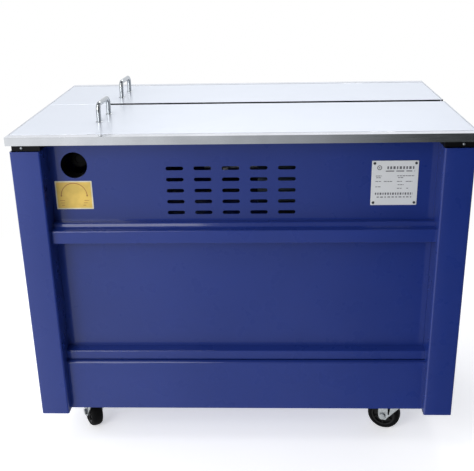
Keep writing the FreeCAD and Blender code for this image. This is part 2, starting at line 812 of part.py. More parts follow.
def build_head():
    """The sealing head: frame and guide block, camshaft, grippers, press, anvil plate and heater."""
    deck = "deck_low + deck_thick"
    base = span_block(("-90", "-20", deck), ("90", "105", f"{deck} + 10"))
    parts = [base]
    for s in SIDES:
        wall = block((f"{s}75", "slot_mid", "616.5"), ("10", "95", "167"))
        bore = rod((f"{s}75 - 5", "slot_mid", "shaft_z"), "14", "10", "X")
        parts.append(cut(wall, bore))
    parts.append(rod(("0", "95", deck), "8", f"712 - ({deck})", "Z"))
    parts.append(rod(("0", "95", deck), "4", f"720 - ({deck})", "Z"))
    frame = fuse(*parts)
    guide = block(("0", "slot_mid", "677"), ("140", "42", "54"))
    holes = []
    for x in ("-cam_pos", "0", "cam_pos"):
        hole = ("slider_wide + 0.6", "slider_wide + 0.6", "60")
        holes.append(block((x, "slot_mid", "677"), hole))
    guide = cut(guide, fuse(*holes))
    node(group(frame, guide), "head_frame")
    rings = [
        tube((f"{s}75 - 5", "slot_mid", "shaft_z"), "14", "8 + run_play", "10", "X") for s in SIDES
    ]
    node(group(*rings), "cam_bearings")

    shaft = [rod(("-95", "slot_mid", "shaft_z"), "8", "212", "X")]
    for x in ("-cam_pos", "0", "cam_pos"):
        start = (f"{x} - 7", "slot_mid", "shaft_z - cam_throw")
        shaft.append(rod(start, "cam_rad", "14", "X"))
    node(fuse(*shaft), "cam_shaft")

    slider = "slider_high - slider_low"
    middle = "(slider_high + slider_low)/2"
    for x, name in (("-cam_pos", "left_gripper"), ("cam_pos", "right_gripper"), ("0", "seal_press")):
        body = block((x, "slot_mid", middle), ("slider_wide", "slider_wide", slider))
        groove = rod((x, "slot_mid - 12", "slider_high + 1"), "3", "24", "Y")
        node(cut(body, groove), name)

    top = "anvil_low + anvil_thick"
    guides = []
    for s, near, far in (("-", "-146", "-56"), ("", "56", "127")):
        plate = span_block((near, "slot_mid - 9.2", "anvil_low"), (far, "slot_mid + 9.2", top))
        leg = block((f"{s}76", "slot_mid", "(anvil_low + 700)/2"), ("12", "18.4", "anvil_low - 700"))
        guides.append(fuse(plate, leg))
    node(group(*guides), "slot_guides")
    node(span_block(("-55.5", "18.5", "anvil_low"), ("55.5", "62", top)), "slide_plate")

    boss = tube(("0", "95", "712.3"), "9", "4 + run_play", "8.3", "Z")
    blade = span_block(("0", "-6", "0"), ("72", "6", "1"))
    tip = place(group(blade), ("0", "95", "719.6"), V(0, 0, 1), -150)
    clear = rod(("0", "95", "710"), "4 + run_play", "12", "Z")
    node(cut(fuse(boss, tip), clear), "heater_arm")


def belt_shape():
    """The flat belt round the two pulleys, in the plane of their middles."""
    size = SHEET.get
    span = size("slot_mid") - size("motor_y")
    height = size("shaft_z")

    def loop(grow):
        big = size("big_pulley") + grow
        small = size("small_pulley") + grow
        lean = math.asin((big - small) / span)
        up = V(0, -math.sin(lean), math.cos(lean))
        down = V(0, -math.sin(lean), -math.cos(lean))
        far = V(0, size("slot_mid"), height)
        near = V(0, size("motor_y"), height)
        corners = [near + up * small, far + up * big, far + down * big, near + down * small]
        edges = [
            Part.LineSegment(corners[0], corners[1]).toShape(),
            Part.Arc(corners[1], far + V(0, big, 0), corners[2]).toShape(),
            Part.LineSegment(corners[2], corners[3]).toShape(),
            Part.Arc(corners[3], near - V(0, small, 0), corners[0]).toShape(),
        ]
        return Part.Face(Part.Wire(edges))

    play = size("belt_play")
    band = loop(play + size("belt_thick")).cut(loop(play))
    return band.extrude(V(size("pulley_wide") - 4, 0, 0))


def build_drive():
    """The main motor, the flat belt, and the reducer that turns the camshaft."""
    deck = "deck_low + deck_thick"
    gear_low = ("102", "-15", deck)
    case = span_block(gear_low, ("160", "70", "640"))
    out_bore = rod(("102", "slot_mid", "shaft_z"), "8 + run_play", "18", "X")
    in_bore = rod(("142", "slot_mid", "shaft_z"), "7 + run_play", "18", "X")
    node(cut(cut(case, out_bore), in_bore), "gearbox")
    half = "pulley_wide/2"
    for name, radius, axle, reach, y in (
        ("gearbox_pulley", "big_pulley", "7", "30", "slot_mid"),
        ("motor_pulley", "small_pulley", "6", "42", "motor_y"),
    ):
        outline = [
            ("0", f"-{reach}"),
            (axle, f"-{reach}"),
            (axle, f"-{half}"),
            (radius, f"-{half}"),
            (radius, half),
            (f"{axle} + 3", half),
            (f"{axle} + 3", f"{half} + 4"),
            ("0", f"{half} + 4"),
        ]
        node(turned(outline, "X", ("pulley_x", y, "shaft_z")), name)
    shell = rod(("30", "motor_y", "shaft_z"), "motor_rad", "120", "X")
    foot = span_block(("45", "motor_y - 35", deck), ("135", "motor_y + 35", "shaft_z - 30"))
    bore = rod(("130", "motor_y", "shaft_z"), "6 + run_play", "20", "X")
    node(cut(fuse(shell, foot), bore), "main_motor")
    belt = DOC.addObject("Part::Feature", "belt")
    belt.Shape = belt_shape()
    belt.Placement = FreeCAD.Placement(
        V(SHEET.get("pulley_x") - SHEET.get("pulley_wide") / 2 + 2, 0, 0), FreeCAD.Rotation()
    )
    node(belt, "drive_belt")


def build_feed():
    """The roller frame, the feed motor and rollers, and the tension knob behind its access hole."""
    deck = "deck_low + deck_thick"
    plate = span_block(("-365", "3", deck), ("-170", "9", "700"))
    foot = span_block(("-365", "-27", deck), ("-170", "9", f"{deck} + 4"))
    pinch_z = "feed_z + feed_rad + pinch_rad + nip"
    axle = rod(("feed_x", "3", pinch_z), "6", "38", "Y")
    frame = cut(fuse(plate, foot, axle), rod(("feed_x", "3", "feed_z"), "6 + run_play", "6", "Y"))
    frame = cut(frame, rod(("tension_x", "3", "tension_z"), "5 + run_play", "6", "Y"))
    node(frame, "roller_frame")
    motor = fuse(
        rod(("feed_x", "-95", "feed_z"), "28", "68", "Y"),
        block(("feed_x", "-12", "feed_z"), ("52", "30", "52")),
    )
    node(cut(motor, rod(("feed_x", "-18", "feed_z"), "6 + run_play", "21", "Y")), "feed_motor")
    outline = [
        ("0", "-16"),
        ("6", "-16"),
        ("6", "18"),
        ("feed_rad", "18"),
        ("feed_rad", "37"),
        ("0", "37"),
    ]
    node(turned(outline, "Y", ("feed_x", "0", "feed_z")), "feed_roller")
    outline = rectangle(("6 + run_play", "pinch_rad"), ("18", "37"))
    node(turned(outline, "Y", ("feed_x", "0", pinch_z)), "pinch_roller")
    outline = [
        ("0", "-172"),
        ("17", "-172"),
        ("20", "-169"),
        ("20", "-147"),
        ("9", "-147"),
        ("9", "-130"),
        ("5", "-130"),
        ("5", "14"),
        ("9", "14"),
        ("9", "24"),
        ("0", "24"),
    ]
    node(turned(outline, "Y", ("tension_x", "0", "tension_z")), "tension_knob")


# ---------------------------------------------------------------- reel


def build_reel():
    """The reel stand with its fixed shaft, the spinning reel and its brake arm."""
    floor = "post_foot + base_high + sheet"
    plate = span_block(("-110", "-90", floor), ("205", "-84", "440"))
    foot = span_block(("-110", "-125", floor), ("205", "-84", f"{floor} + 5"))
    shaft = rod(("reel_x", "-90", "reel_z"), "reel_shaft", "215", "Y")
    pivot = rod(("190", "-90", "420"), "5", "32", "Y")
    node(fuse(plate, foot, shaft, pivot), "reel_stand")

    bore = "reel_shaft + run_play"
    hub = [
        (bore, "-66"),
        ("hub_rad", "-66"),
        ("hub_rad", "110"),
        ("hub_rad - 4", "110"),
        ("hub_rad - 4", "-60"),
        ("26", "-60"),
        ("26", "110"),
        (bore, "110"),
    ]
    members = [turned(hub, "Y", ("reel_x", "0", "reel_z"))]
    for y in ("-68", "112"):
        body = DOC.addObject("PartDesign::Body", "flange")
        sketch = new_sketch(body, "XZ_Plane")
        draw_circle(sketch, ("0", "0"), "flange_rad")
        draw_circle(sketch, ("0", "0"), "reel_shaft + 1.5")
        disc = body.newObject("PartDesign::Pad", "disc")
        disc.Profile = sketch
        disc.SideType = "Symmetric"
        bind(disc, "Length", "4")
        window = new_sketch(body, "XZ_Plane")
        draw_circle(window, ("0", "(flange_rad + hub_rad)/2"), "24")
        pocket = body.newObject("PartDesign::Pocket", "window")
        pocket.Profile = window
        pocket.SideType = "Symmetric"
        pocket.Length = 10
        ring = body.newObject("PartDesign::PolarPattern", "windows")
        ring.Originals = [pocket]
        ring.Axis = (sketch, ["N_Axis"])
        ring.Angle = 360
        ring.Occurrences = 6
        body.Tip = ring
        DOC.recompute()
        if ring.Shape.Volume > disc.Shape.Volume - 5 * math.pi * 24**2 * 4:
            raise SystemExit("the flange windows weren't all cut")
        place(body, ("reel_x", y, "reel_z"))
        members.append(body)
    nut = [(bore, "114"), ("26", "114"), ("26", "120"), (bore, "120")]
    members.append(turned(nut, "Y", ("reel_x", "0", "reel_z")))
    node(group(*members), "strap_reel")

    arm = [
        ("-70", "-48"),
        ("-48", "-62"),
        ("-36", "-48"),
        ("2", "-14"),
        ("14", "-4"),
        ("10", "15"),
        ("-8", "15"),
    ]
    lever = folded("XZ_Plane", arm, "8", ("190", "-68", "420"))
    boss = rod(("190", "-78", "420"), "10", "18", "Y")
    pin_bore = rod(("190", "-80", "420"), "5 + run_play", "24", "Y")
    swept = rod(("reel_x", "-80", "reel_z"), "flange_rad + 0.5", "24", "Y")
    node(cut(cut(fuse(lever, boss), pin_bore), swept), "brake_arm")


# ---------------------------------------------------------------- controls

TIMER_X = "(panel_mid_x - 25)"
FEED_X = "(panel_mid_x + 30)"
RESET_X = "(panel_mid_x + 75)"
SWITCH_X = "(panel_mid_x - 78)"
CONTROL_HOLES = ((TIMER_X, "3 + run_play"), (FEED_X, "5.4"), (RESET_X, "5.4"))


def switch_window():
    """The opening for the rocker switch, through both sheets."""
    return block((SWITCH_X, "panel_y", "control_z"), ("21", "20", "31"))


def build_controls():
    """The control plate and box, the rocker switch, the feed timer and the two push buttons."""
    outline = rectangle(
        ("panel_mid_x - 110", "panel_mid_x + 110"), ("panel_mid_z - 60", "panel_mid_z + 60")
    )
    controls = [((x, "control_z"), radius) for x, radius in CONTROL_HOLES]
    plate = folded("XZ_Plane", outline, "sheet", ("0", "panel_y + sheet/2", "0"), controls)
    face = "panel_y + sheet"
    members = [cut(plate, switch_window())]
    for x in (FEED_X, RESET_X):
        members.append(tube((x, face, "control_z"), "13", "9.4", "8", "Y"))
    node(group(*members), "control_panel")

    outer = span_block(("-335", "150", "560"), ("-105", "panel_y - sheet", "690"))
    inner = span_block(("-333", "152", "562"), ("-107", "panel_y", "688"))
    node(cut(outer, inner), "control_box")

    rocker = [
        ("-7", "-9"),
        ("4", "-14"),
        ("2.5", "0"),
        ("4", "14"),
        ("-7", "9"),
    ]
    body = place(
        folded("YZ_Plane", rocker, "20"), (SWITCH_X, "panel_y + 2", "control_z"), V(1, 0, 0), -8
    )
    pivot = rod((f"{SWITCH_X} - 10.4", "panel_y + 2", "control_z"), "1.5", "20.8", "X")
    node(fuse(body, pivot), "power_switch")
    knob = [
        ("0", "-30"),
        ("3", "-30"),
        ("3", "0.4"),
        ("15", "0.4"),
        ("14", "16"),
        ("12", "18"),
        ("0", "18"),
    ]
    node(turned(knob, "Y", (TIMER_X, face, "control_z")), "feed_timer_knob")
    button = [
        ("0", "-14"),
        ("5", "-14"),
        ("5", "4"),
        ("9", "4"),
        ("9", "10"),
        ("8", "11"),
        ("0", "11"),
    ]
    node(turned(button, "Y", (FEED_X, face, "control_z")), "feed_button")
    node(turned(button, "Y", (RESET_X, face, "control_z")), "reset_button")
    gland = [
        ("4", "-12"),
        ("8", "-12"),
        ("8", "0"),
        ("11", "0"),
        ("11", "6"),
        ("8", "10.5"),
        ("4", "10.5"),
    ]
    node(turned(gland, "X", ("side_x", "150", "170")), "cable_gland")


# ---------------------------------------------------------------- casters


def build_casters():
    """Four swivel casters with slotted forks, each with its wheel trailing at its own angle.

    The one at the service side's left corner is bolted a little further out than the others.
    """
    plates = []
    wheel_z = "wheel_rad"
    leg_y = "(wheel_wide/2 + 3)"
    for name, sx, sy, yaw in CASTERS:
        centre = (f"{sx}caster_x", f"{sy}caster_y")
        if name == "service_left":
            centre = ("-(caster_x + caster_out)", "-(caster_y + caster_fore)")
        plates.append(block((*centre, "102.5"), ("80", "70", "3")))
        plates.append(rod((*centre, "90.3"), "25", "10.7", "Z"))
        plates.append(rod((*centre, "80"), "6", "11", "Z"))
        leg = [
            ("-22", "83"),
            ("-22", "79"),
            ("caster_trail - 17", "wheel_rad + 3.5"),
            ("caster_trail - 12.5", "wheel_rad - 1.5"),
            ("caster_trail - 8", "wheel_rad - 9"),
            ("caster_trail + 3", "wheel_rad - 9"),
            ("caster_trail + 9", "wheel_rad - 1.5"),
            ("caster_trail + 10", "wheel_rad + 7.5"),
            ("caster_trail + 10", "83"),
        ]
        slot = [("6", "70"), ("13.5", "70"), ("12.5", "44"), ("9.5", "44")]
        legs = [folded("XZ_Plane", leg, "2.5", ("0", f"{s}{leg_y}", "0")) for s in SIDES]
        crown = tube(("0", "0", "82"), "27", "6 + run_play", "8", "Z")
        axle_start = ("caster_trail", f"-{leg_y} - 10", wheel_z)
        axle_hole = rod(axle_start, "axle_rad", "60", "Y")
        fork = cut(cut(fuse(crown, *legs), axle_hole), folded("XZ_Plane", slot, "60"))
        axle = rod(("caster_trail", f"-{leg_y} - 4", wheel_z), "axle_rad", f"2*{leg_y} + 8", "Y")
        heads = [
            rod(("caster_trail", f"{leg_y} + 1.25", wheel_z), "7", "4", "Y"),
            rod(("caster_trail", f"-{leg_y} - 5.25", wheel_z), "7", "4", "Y"),
        ]
        assembly = group(fork, fuse(axle, *heads))
        node(place(assembly, (*centre, "0"), V(0, 0, 1), yaw), f"{name}_caster_fork")
        rim = "wheel_wide/2"
        tyre = [
            ("axle_rad + run_play", f"-{rim}"),
            ("11", f"-{rim}"),
            ("11", f"2 - {rim}"),
            ("26", f"3.5 - {rim}"),
            ("28", f"1 - {rim}"),
            ("wheel_rad - 8", f"-{rim}"),
            ("wheel_rad - 4", f"1.5 - {rim}"),
            ("wheel_rad - 1.3", f"5 - {rim}"),
            ("wheel_rad", f"10 - {rim}"),
        ]
        mirror = [(radius, f"-({along})") for radius, along in reversed(tyre)]
        wheel = group(turned(tyre + mirror, "Y", ("caster_trail", "0", wheel_z)))
        node(place(wheel, (*centre, "0"), V(0, 0, 1), yaw), f"{name}_caster_wheel")
    node(group(*plates), "caster_plates")


CASTERS = (
    ("service_left", "-", "-", 120),
    ("service_right", "", "-", 158),
    ("operator_left", "-", "", 60),
    ("operator_right", "", "", 125),
)


def check_and_export():
    """Stop on any failed object; write each sub-part only when all of them are whole."""
    DOC.recompute()
    faults = []
    for thing in DOC.Objects:
        if {"Invalid", "Error"} & set(thing.State):
            faults.append(f"{thing.Name} ({thing.Label}): {thing.State}")
    for thing in NODES:
        shape = thing.Shape
        if shape.isNull() or not shape.isValid() or shape.Volume <= 0:
            faults.append(f"{thing.Label}: its shape is missing or invalid")
    if faults:
        raise SystemExit("\n".join(faults))
    os.makedirs("parts", exist_ok=True)
    for thing in NODES:
        thing.Shape.exportStep(f"parts/{thing.Label}.step")
    print(len(NODES), "sub-parts written")


fill_sheet()
build_base()
build_posts()
build_rails()
build_panels()
build_table_frame()
build_leaf("-", "service", "service_handle_mid")
build_leaf("", "operator", "operator_handle_mid")
build_table_hinges()
build_trim()
build_door()
build_deck()
build_head()
build_drive()
build_feed()
build_reel()
build_controls()
build_casters()
check_and_export()
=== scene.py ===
"""The looks of a semi automatic strapping machine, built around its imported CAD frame.

Lengths are in metres. Places come from the frame's boxes and joints; MM turns millimetres into metres.
"""

import json
from math import cos, pi, radians, sin, tan, tau

import bmesh
import bpy
from mathutils import Matrix, Vector


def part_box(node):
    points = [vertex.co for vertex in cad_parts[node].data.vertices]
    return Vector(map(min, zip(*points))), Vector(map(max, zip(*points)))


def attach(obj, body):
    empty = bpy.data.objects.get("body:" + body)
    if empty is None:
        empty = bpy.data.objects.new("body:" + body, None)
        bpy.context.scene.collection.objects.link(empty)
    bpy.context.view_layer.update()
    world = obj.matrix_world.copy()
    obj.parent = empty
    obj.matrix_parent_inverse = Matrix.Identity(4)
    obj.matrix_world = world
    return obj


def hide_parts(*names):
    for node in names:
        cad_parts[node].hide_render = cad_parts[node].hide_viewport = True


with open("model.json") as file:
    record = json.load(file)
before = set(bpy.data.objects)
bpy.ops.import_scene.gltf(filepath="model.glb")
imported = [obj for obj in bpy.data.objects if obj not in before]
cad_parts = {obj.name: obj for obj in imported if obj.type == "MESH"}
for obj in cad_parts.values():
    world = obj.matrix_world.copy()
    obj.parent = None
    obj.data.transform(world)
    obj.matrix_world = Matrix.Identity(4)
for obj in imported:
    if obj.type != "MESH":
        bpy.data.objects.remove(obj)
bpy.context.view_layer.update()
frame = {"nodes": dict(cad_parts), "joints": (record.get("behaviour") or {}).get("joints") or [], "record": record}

MM = 0.001
X = Vector((1, 0, 0))
Y = Vector((0, 1, 0))
Z = Vector((0, 0, 1))
NODES = frame["nodes"]
SLOT_OF = {part["node"]: part["material_slot"] for part in frame["record"]["subparts"]}


# ---------------------------------------------------------------- finishes


def node_output(tree, kind, output, **inputs):
    """An output of a new node whose inputs are set, or linked to the outputs given for them."""
    node = tree.nodes.new("ShaderNode" + kind)
    for name, value in inputs.items():
        socket = node.inputs[name.replace("_", " ")]
        if isinstance(value, bpy.types.NodeSocket):
            tree.links.new(value, socket)
        else:
            socket.default_value = value
    return node.outputs[output]


def mixed(tree, share, first, second):
    """A colour from first to second; either may be a colour or another node's output."""
    mix = tree.nodes.new("ShaderNodeMix")
    mix.data_type = "RGBA"
    tree.links.new(share, mix.inputs["Factor"])
    sockets = [socket for socket in mix.inputs if socket.type == "RGBA"]
    for socket, colour in zip(sockets, (first, second)):
        if isinstance(colour, tuple):
            socket.default_value = (*colour, 1)
        else:
            tree.links.new(colour, socket)
    return next(socket for socket in mix.outputs if socket.type == "RGBA")


class Finish:
    """A procedural material: a Principled shader whose colour, roughness and bump come from nodes."""

    def __init__(self, name, **sockets):
        self.material = bpy.data.materials.new(name)
        self.material.use_nodes = True
        self.tree = self.material.node_tree
        self.shader = self.tree.nodes["Principled BSDF"]
        self.place = node_output(self.tree, "TexCoord", "Object")
        for socket, value in sockets.items():
            self.shader.inputs[socket.replace("_", " ")].default_value = value

    def feed(self, socket, output):
        """Links an output to one of the shader's own sockets."""
        self.tree.links.new(output, self.shader.inputs[socket])

    def noise(self, scale, stretch=(1, 1, 1), detail=3.0):
        """Noise with about scale lumps to the metre, times stretch along each axis."""
        sizes = [scale * share for share in stretch]
        place = node_output(self.tree, "Mapping", "Vector", Vector=self.place, Scale=sizes)
        return node_output(self.tree, "TexNoise", "Fac", Vector=place, Scale=1.0, Detail=detail)

    def cells(self, scale):
        """Distance to the middle of the nearest of about scale cells to the metre."""
        return node_output(self.tree, "TexVoronoi", "Distance", Vector=self.place, Scale=scale)

    def span(self, value, low, high, near=0.35, far=0.65):
        """value between near and far, as a number between low and high."""
        limits = {"From_Min": near, "From_Max": far, "To_Min": low, "To_Max": high}
        return node_output(self.tree, "MapRange", "Result", Value=value, **limits)

    def blend(self, share, first, second):
        """Links the base colour to one between two others, as share goes from 0 to 1."""
        self.feed("Base Color", mixed(self.tree, share, first, second))

    def mottle(self, scale, first, second):
        """A base colour that drifts between two, with about scale lumps to the metre."""
        self.blend(self.span(self.noise(scale), 0.0, 1.0), first, second)

    def roughen(self, scale, low, high):
        """A roughness between low and high, with about scale lumps to the metre."""
        self.feed("Roughness", self.span(self.noise(scale), low, high))

    def bump(self, height, distance):
        """Adds height to the surface, over any bump that is there already."""
        below = self.shader.inputs["Normal"]
        inputs = {"Height": height, "Distance": distance, "Strength": 1.0}
        if below.is_linked:
            inputs["Normal"] = below.links[0].from_socket
        self.tree.links.new(node_output(self.tree, "Bump", "Normal", **inputs), below)


def paint(name, colour, dull=0.30, peel=0.00003, coat=0.8):
    """Sprayed or powdered paint: slow colour drift, fine speckle and orange peel under a clear coat."""
    drift = tuple(channel * 1.10 + 0.001 for channel in colour)
    fleck = tuple(channel * 0.88 for channel in colour)
    finish = Finish(name, Coat_Weight=coat, Coat_Roughness=0.09, Specular_IOR_Level=0.12)
    body = mixed(finish.tree, finish.span(finish.noise(4.0), 0.0, 1.0), colour, drift)
    finish.blend(finish.span(finish.noise(700.0, detail=1.0), 0.0, 0.5), body, fleck)
    finish.roughen(22.0, dull - 0.04, dull + 0.06)
    finish.bump(finish.noise(420.0, detail=2.0), peel)
    finish.bump(finish.noise(2600.0, detail=1.0), peel / 5)
    return finish.material


def metal(name, colour, dull, spread=0.08, brushed=None, scratch=0.00001, dark=0.82, **sockets):
    """Bare or plated metal. brushed is the stretch of its grain: small along the grain."""
    finish = Finish(name, **{"Metallic": 1.0, **sockets})
    shade = tuple(channel * dark for channel in colour)
    finish.mottle(14.0, colour, shade)
    if brushed:
        grain = finish.noise(1400.0, stretch=brushed, detail=4.0)
        finish.bump(grain, scratch)
        finish.feed("Roughness", finish.span(grain, dull - spread / 2, dull + spread))
    else:
        finish.roughen(90.0, dull - spread / 2, dull + spread)
        finish.bump(finish.noise(900.0), scratch)
    return finish.material


def moulded(name, colour, dull=0.45, grain=0.00004, dust=0.008, **sockets):
    """Moulded plastic or rubber with a fine spark-eroded texture and a little dust."""
    finish = Finish(name, **sockets)
    dusty = tuple(channel * 1.25 + dust for channel in colour)
    finish.mottle(35.0, colour, dusty)
    finish.roughen(120.0, dull - 0.06, dull + 0.1)
    finish.bump(finish.cells(2200.0), grain)
    return finish.material


def plated(name, colour, pale, dull=0.34):
    """Zinc plate with its patchy spangle."""
    finish = Finish(name, Metallic=1.0)
    patches = finish.span(finish.cells(260.0), 0.0, 1.0, near=0.1, far=0.6)
    finish.blend(patches, pale, colour)
    finish.roughen(160.0, dull - 0.08, dull + 0.1)
    finish.bump(finish.noise(700.0), 0.00002)
    return finish.material


def casting(name, colour, dull=0.6):
    """A painted or blasted casting with a grainy skin."""
    finish = Finish(name, Metallic=0.35)
    dark = tuple(channel * 0.7 for channel in colour)
    finish.mottle(40.0, colour, dark)
    finish.roughen(200.0, dull - 0.1, dull + 0.1)
    finish.bump(finish.noise(1100.0, detail=5.0), 0.00015)
    return finish.material


def hammered(name, colour):
    """Hammer-tone paint: shallow round dimples."""
    finish = Finish(name, Coat_Weight=0.3, Coat_Roughness=0.15, Metallic=0.3)
    light = tuple(channel * 1.35 for channel in colour)
    dimples = finish.cells(420.0)
    finish.blend(finish.span(dimples, 0.0, 1.0, 0.1, 0.7), light, colour)
    finish.roughen(50.0, 0.3, 0.45)
    finish.bump(dimples, 0.00025)
    return finish.material


ALONG_X = (0.012, 1.0, 1.0)
FINE = 0.000004
MATT = {"Specular_IOR_Level": 0.08}
FINISHES = {
    "blue_paint": paint("blue_paint", (0.011, 0.028, 0.178)),
    "white_steel": metal("white_steel", (0.77, 0.81, 0.88), 0.30, 0.04, ALONG_X, FINE, 0.99, Metallic=0.4),
    "rim_steel": metal("rim_steel", (0.73, 0.74, 0.765), 0.16, 0.06, ALONG_X, 0.000012, 0.88),
    "chrome": metal("chrome", (0.46, 0.48, 0.49), 0.07, 0.03, dark=0.96, scratch=0.000003),
    "black_steel": paint("black_steel", (0.003, 0.003, 0.004), dull=0.5, coat=0.05),
    "zinc": plated("zinc", (0.38, 0.40, 0.41), (0.50, 0.52, 0.54)),
    "steel": metal("steel", (0.52, 0.52, 0.53), 0.30, 0.12, (1.0, 0.02, 1.0), 0.00001),
    "plate_aluminium": metal("plate_aluminium", (0.66, 0.67, 0.68), 0.46, 0.1, ALONG_X, dark=0.95),
    "label_yellow": moulded("label_yellow", (0.61, 0.42, 0.085), 0.38, 0.00001),
    "tyre_rubber": moulded("tyre_rubber", (0.004, 0.004, 0.0042), 0.7, 0.00006, 0.001, **MATT),
    "black_plastic": moulded("black_plastic", (0.014, 0.014, 0.016), 0.4),
    "red_plastic": moulded("red_plastic", (0.50, 0.012, 0.012), 0.28, 0.00001, Coat_Weight=0.4),
    "green_plastic": moulded("green_plastic", (0.012, 0.26, 0.06), 0.28, 0.00001, Coat_Weight=0.4),
    "cast_grey": casting("cast_grey", (0.12, 0.125, 0.13)),
    "motor_paint": hammered("motor_paint", (0.05, 0.07, 0.09)),
    "belt_rubber": moulded("belt_rubber", (0.025, 0.025, 0.026), 0.7, 0.00012),
    "control_grey": paint("control_grey", (0.50, 0.52, 0.54), dull=0.4, coat=0.15),
}
PLATE_FACE = metal("plate_face", (0.71, 0.72, 0.73), 0.5, 0.1, ALONG_X, dark=0.95, Metallic=0.2)
# Painted shade: a near-black, darker than the knob's own plastic. It is used for the adjuster knob deep in its
# hole, the sleeve round it and the strips along the table slot, which stand where there is only shadow.
SHADE_BLACK = moulded("painted_shade_black", (0.003, 0.003, 0.003), 0.6, dust=0.001, Specular_IOR_Level=0.15)
CORE_BLACK = moulded("core_black", (0.006, 0.006, 0.006), 0.5, dust=0.002, Specular_IOR_Level=0.2)
PRINT_DARK = moulded("print_dark", (0.10, 0.10, 0.11), 0.5, 0.00001)
PRINT_PALE = moulded("print_pale", (0.75, 0.75, 0.72), 0.5, 0.00001)
PRINT_RED = moulded("print_red", (0.34, 0.13, 0.03), 0.4, 0.00001)
LABEL_EDGE = moulded("label_edge", (0.60, 0.57, 0.44), 0.38, 0.00001)
SCREW_DARK = metal("screw_dark", (0.06, 0.065, 0.07), 0.35, dark=0.8)
BRASS = metal("brass", (0.72, 0.52, 0.22), 0.25, dark=0.85)


# ---------------------------------------------------------------- mesh tools


def band(mesh, near, far):
    """Adds the faces between two rings of points; either may be a single point."""
    for step in range(max(len(near), len(far))):
        corners = [near[step % len(near)], near[(step + 1) % len(near)]]
        corners += [far[(step + 1) % len(far)], far[step % len(far)]]
        mesh.faces.new(list(dict.fromkeys(corners)))


def ring_of(mesh, middle, side, across, steps, form=None):
    """Points around middle, from side over across; form is a factor on the distance by angle."""
    ring = []
    for step in range(steps):
        angle = step / steps * tau
        offset = side * cos(angle) + across * sin(angle)
        ring.append(mesh.verts.new(middle + offset * (form(angle) if form else 1)))
    return ring


def turned(mesh, at, axis, profile, steps=48, form=None, closed=False):
    """Adds a solid turned about axis through at.

    Rows of profile are (radius, along), or (radius, along, 1.0) for a ring that takes the form, a factor
    on the radius by angle. A closed profile joins its last row to its first.
    """
    axis = Vector(axis).normalized()
    guide = X if abs(axis.z) > 0.9 else Z
    side = (guide - axis * guide.dot(axis)).normalized()
    across = axis.cross(side)
    rings = []
    for radius, along, *share in profile:
        middle = Vector(at) + axis * along
        if radius <= 0:
            rings.append([mesh.verts.new(middle)])
            continue
        shape = form if share else None
        rings.append(ring_of(mesh, middle, side * radius, across * radius, steps, shape))
    if closed:
        rings.append(rings[0])
    for near, far in zip(rings, rings[1:]):
        band(mesh, near, far)


def walls(mesh, outline, at, across, up, depth):
    """Adds the sides of an outline of (a, b) points, a along across and b along up, pushed out by depth."""
    near = [mesh.verts.new(Vector(at) + across * a + up * b) for a, b in outline]
    far = [mesh.verts.new(vert.co + depth) for vert in near]
    band(mesh, near, far)
    return near, far


def prism(mesh, outline, at, across, up, depth):
    """Adds a flat outline of (a, b) points from at, pushed out by depth into a solid."""
    near, far = walls(mesh, outline, at, across, up, depth)
    mesh.faces.new(near)
    mesh.faces.new(far[::-1])


def block(mesh, low, high):
    """Adds a box between two corners."""
    low, high = Vector(low), Vector(high)
    outline = [(0, 0), (high.x - low.x, 0), (high.x - low.x, high.y - low.y), (0, high.y - low.y)]
    prism(mesh, outline, low, X, Y, Z * (high.z - low.z))


def joined(mesh, rings):
    """Skins rings of the same number of points, one after another, and closes both ends."""
    for near, far in zip(rings, rings[1:]):
        band(mesh, near, far)
    mesh.faces.new(rings[0])
    mesh.faces.new(rings[-1][::-1])


def swept(mesh, path, radius, sides=20, flat=1.0):
    """Adds a round bar along path, a list of points in one plane; flat squeezes it across that plane."""
    out = None
    for first, middle, last in zip(path, path[1:], path[2:]):
        turn = (middle - first).cross(last - middle)
        if turn.length > 1e-9:
            out = turn.normalized()
            break
    rings = []
    for step, point in enumerate(path):
        ahead = path[min(step + 1, len(path) - 1)] - path[max(step - 1, 0)]
        side = ahead.cross(out).normalized()
        rings.append(ring_of(mesh, point, side * radius, out * radius * flat, sides))
    joined(mesh, rings)


def coil(mesh, at, axis, radius, wire, length, turns):
    """Adds a helical spring of round wire about axis, starting beside at."""
    axis = Vector(axis).normalized()
    side = X if abs(axis.x) < 0.9 else Z
    across = axis.cross(side)
    rings = []
    count = int(turns * 24)
    for step in range(count + 1):
        angle = step / 24 * tau
        out = side * cos(angle) + across * sin(angle)
        middle = Vector(at) + axis * (length * step / count) + out * radius
        rings.append(ring_of(mesh, middle, out * wire, axis * wire, 8))
    joined(mesh, rings)


def rounded_path(corners, radii, steps=10):
    """The points of a polyline whose inner corners are replaced by arcs, each with its own radius."""
    path = [corners[0]]
    for before, corner, after, radius in zip(corners, corners[1:], corners[2:], radii):
        back = (before - corner).normalized()
        ahead = (after - corner).normalized()
        half = back.angle(ahead) / 2
        centre = corner + (back + ahead).normalized() * (radius / sin(half))
        start = corner + back * (radius / tan(half)) - centre
        end = corner + ahead * (radius / tan(half)) - centre
        whole = start.angle(end)
        for step in range(steps + 1):
            share = step / steps
            first = sin((1 - share) * whole) / sin(whole)
            second = sin(share * whole) / sin(whole)
            path.append(centre + start * first + end * second)
    path.append(corners[-1])
    return path


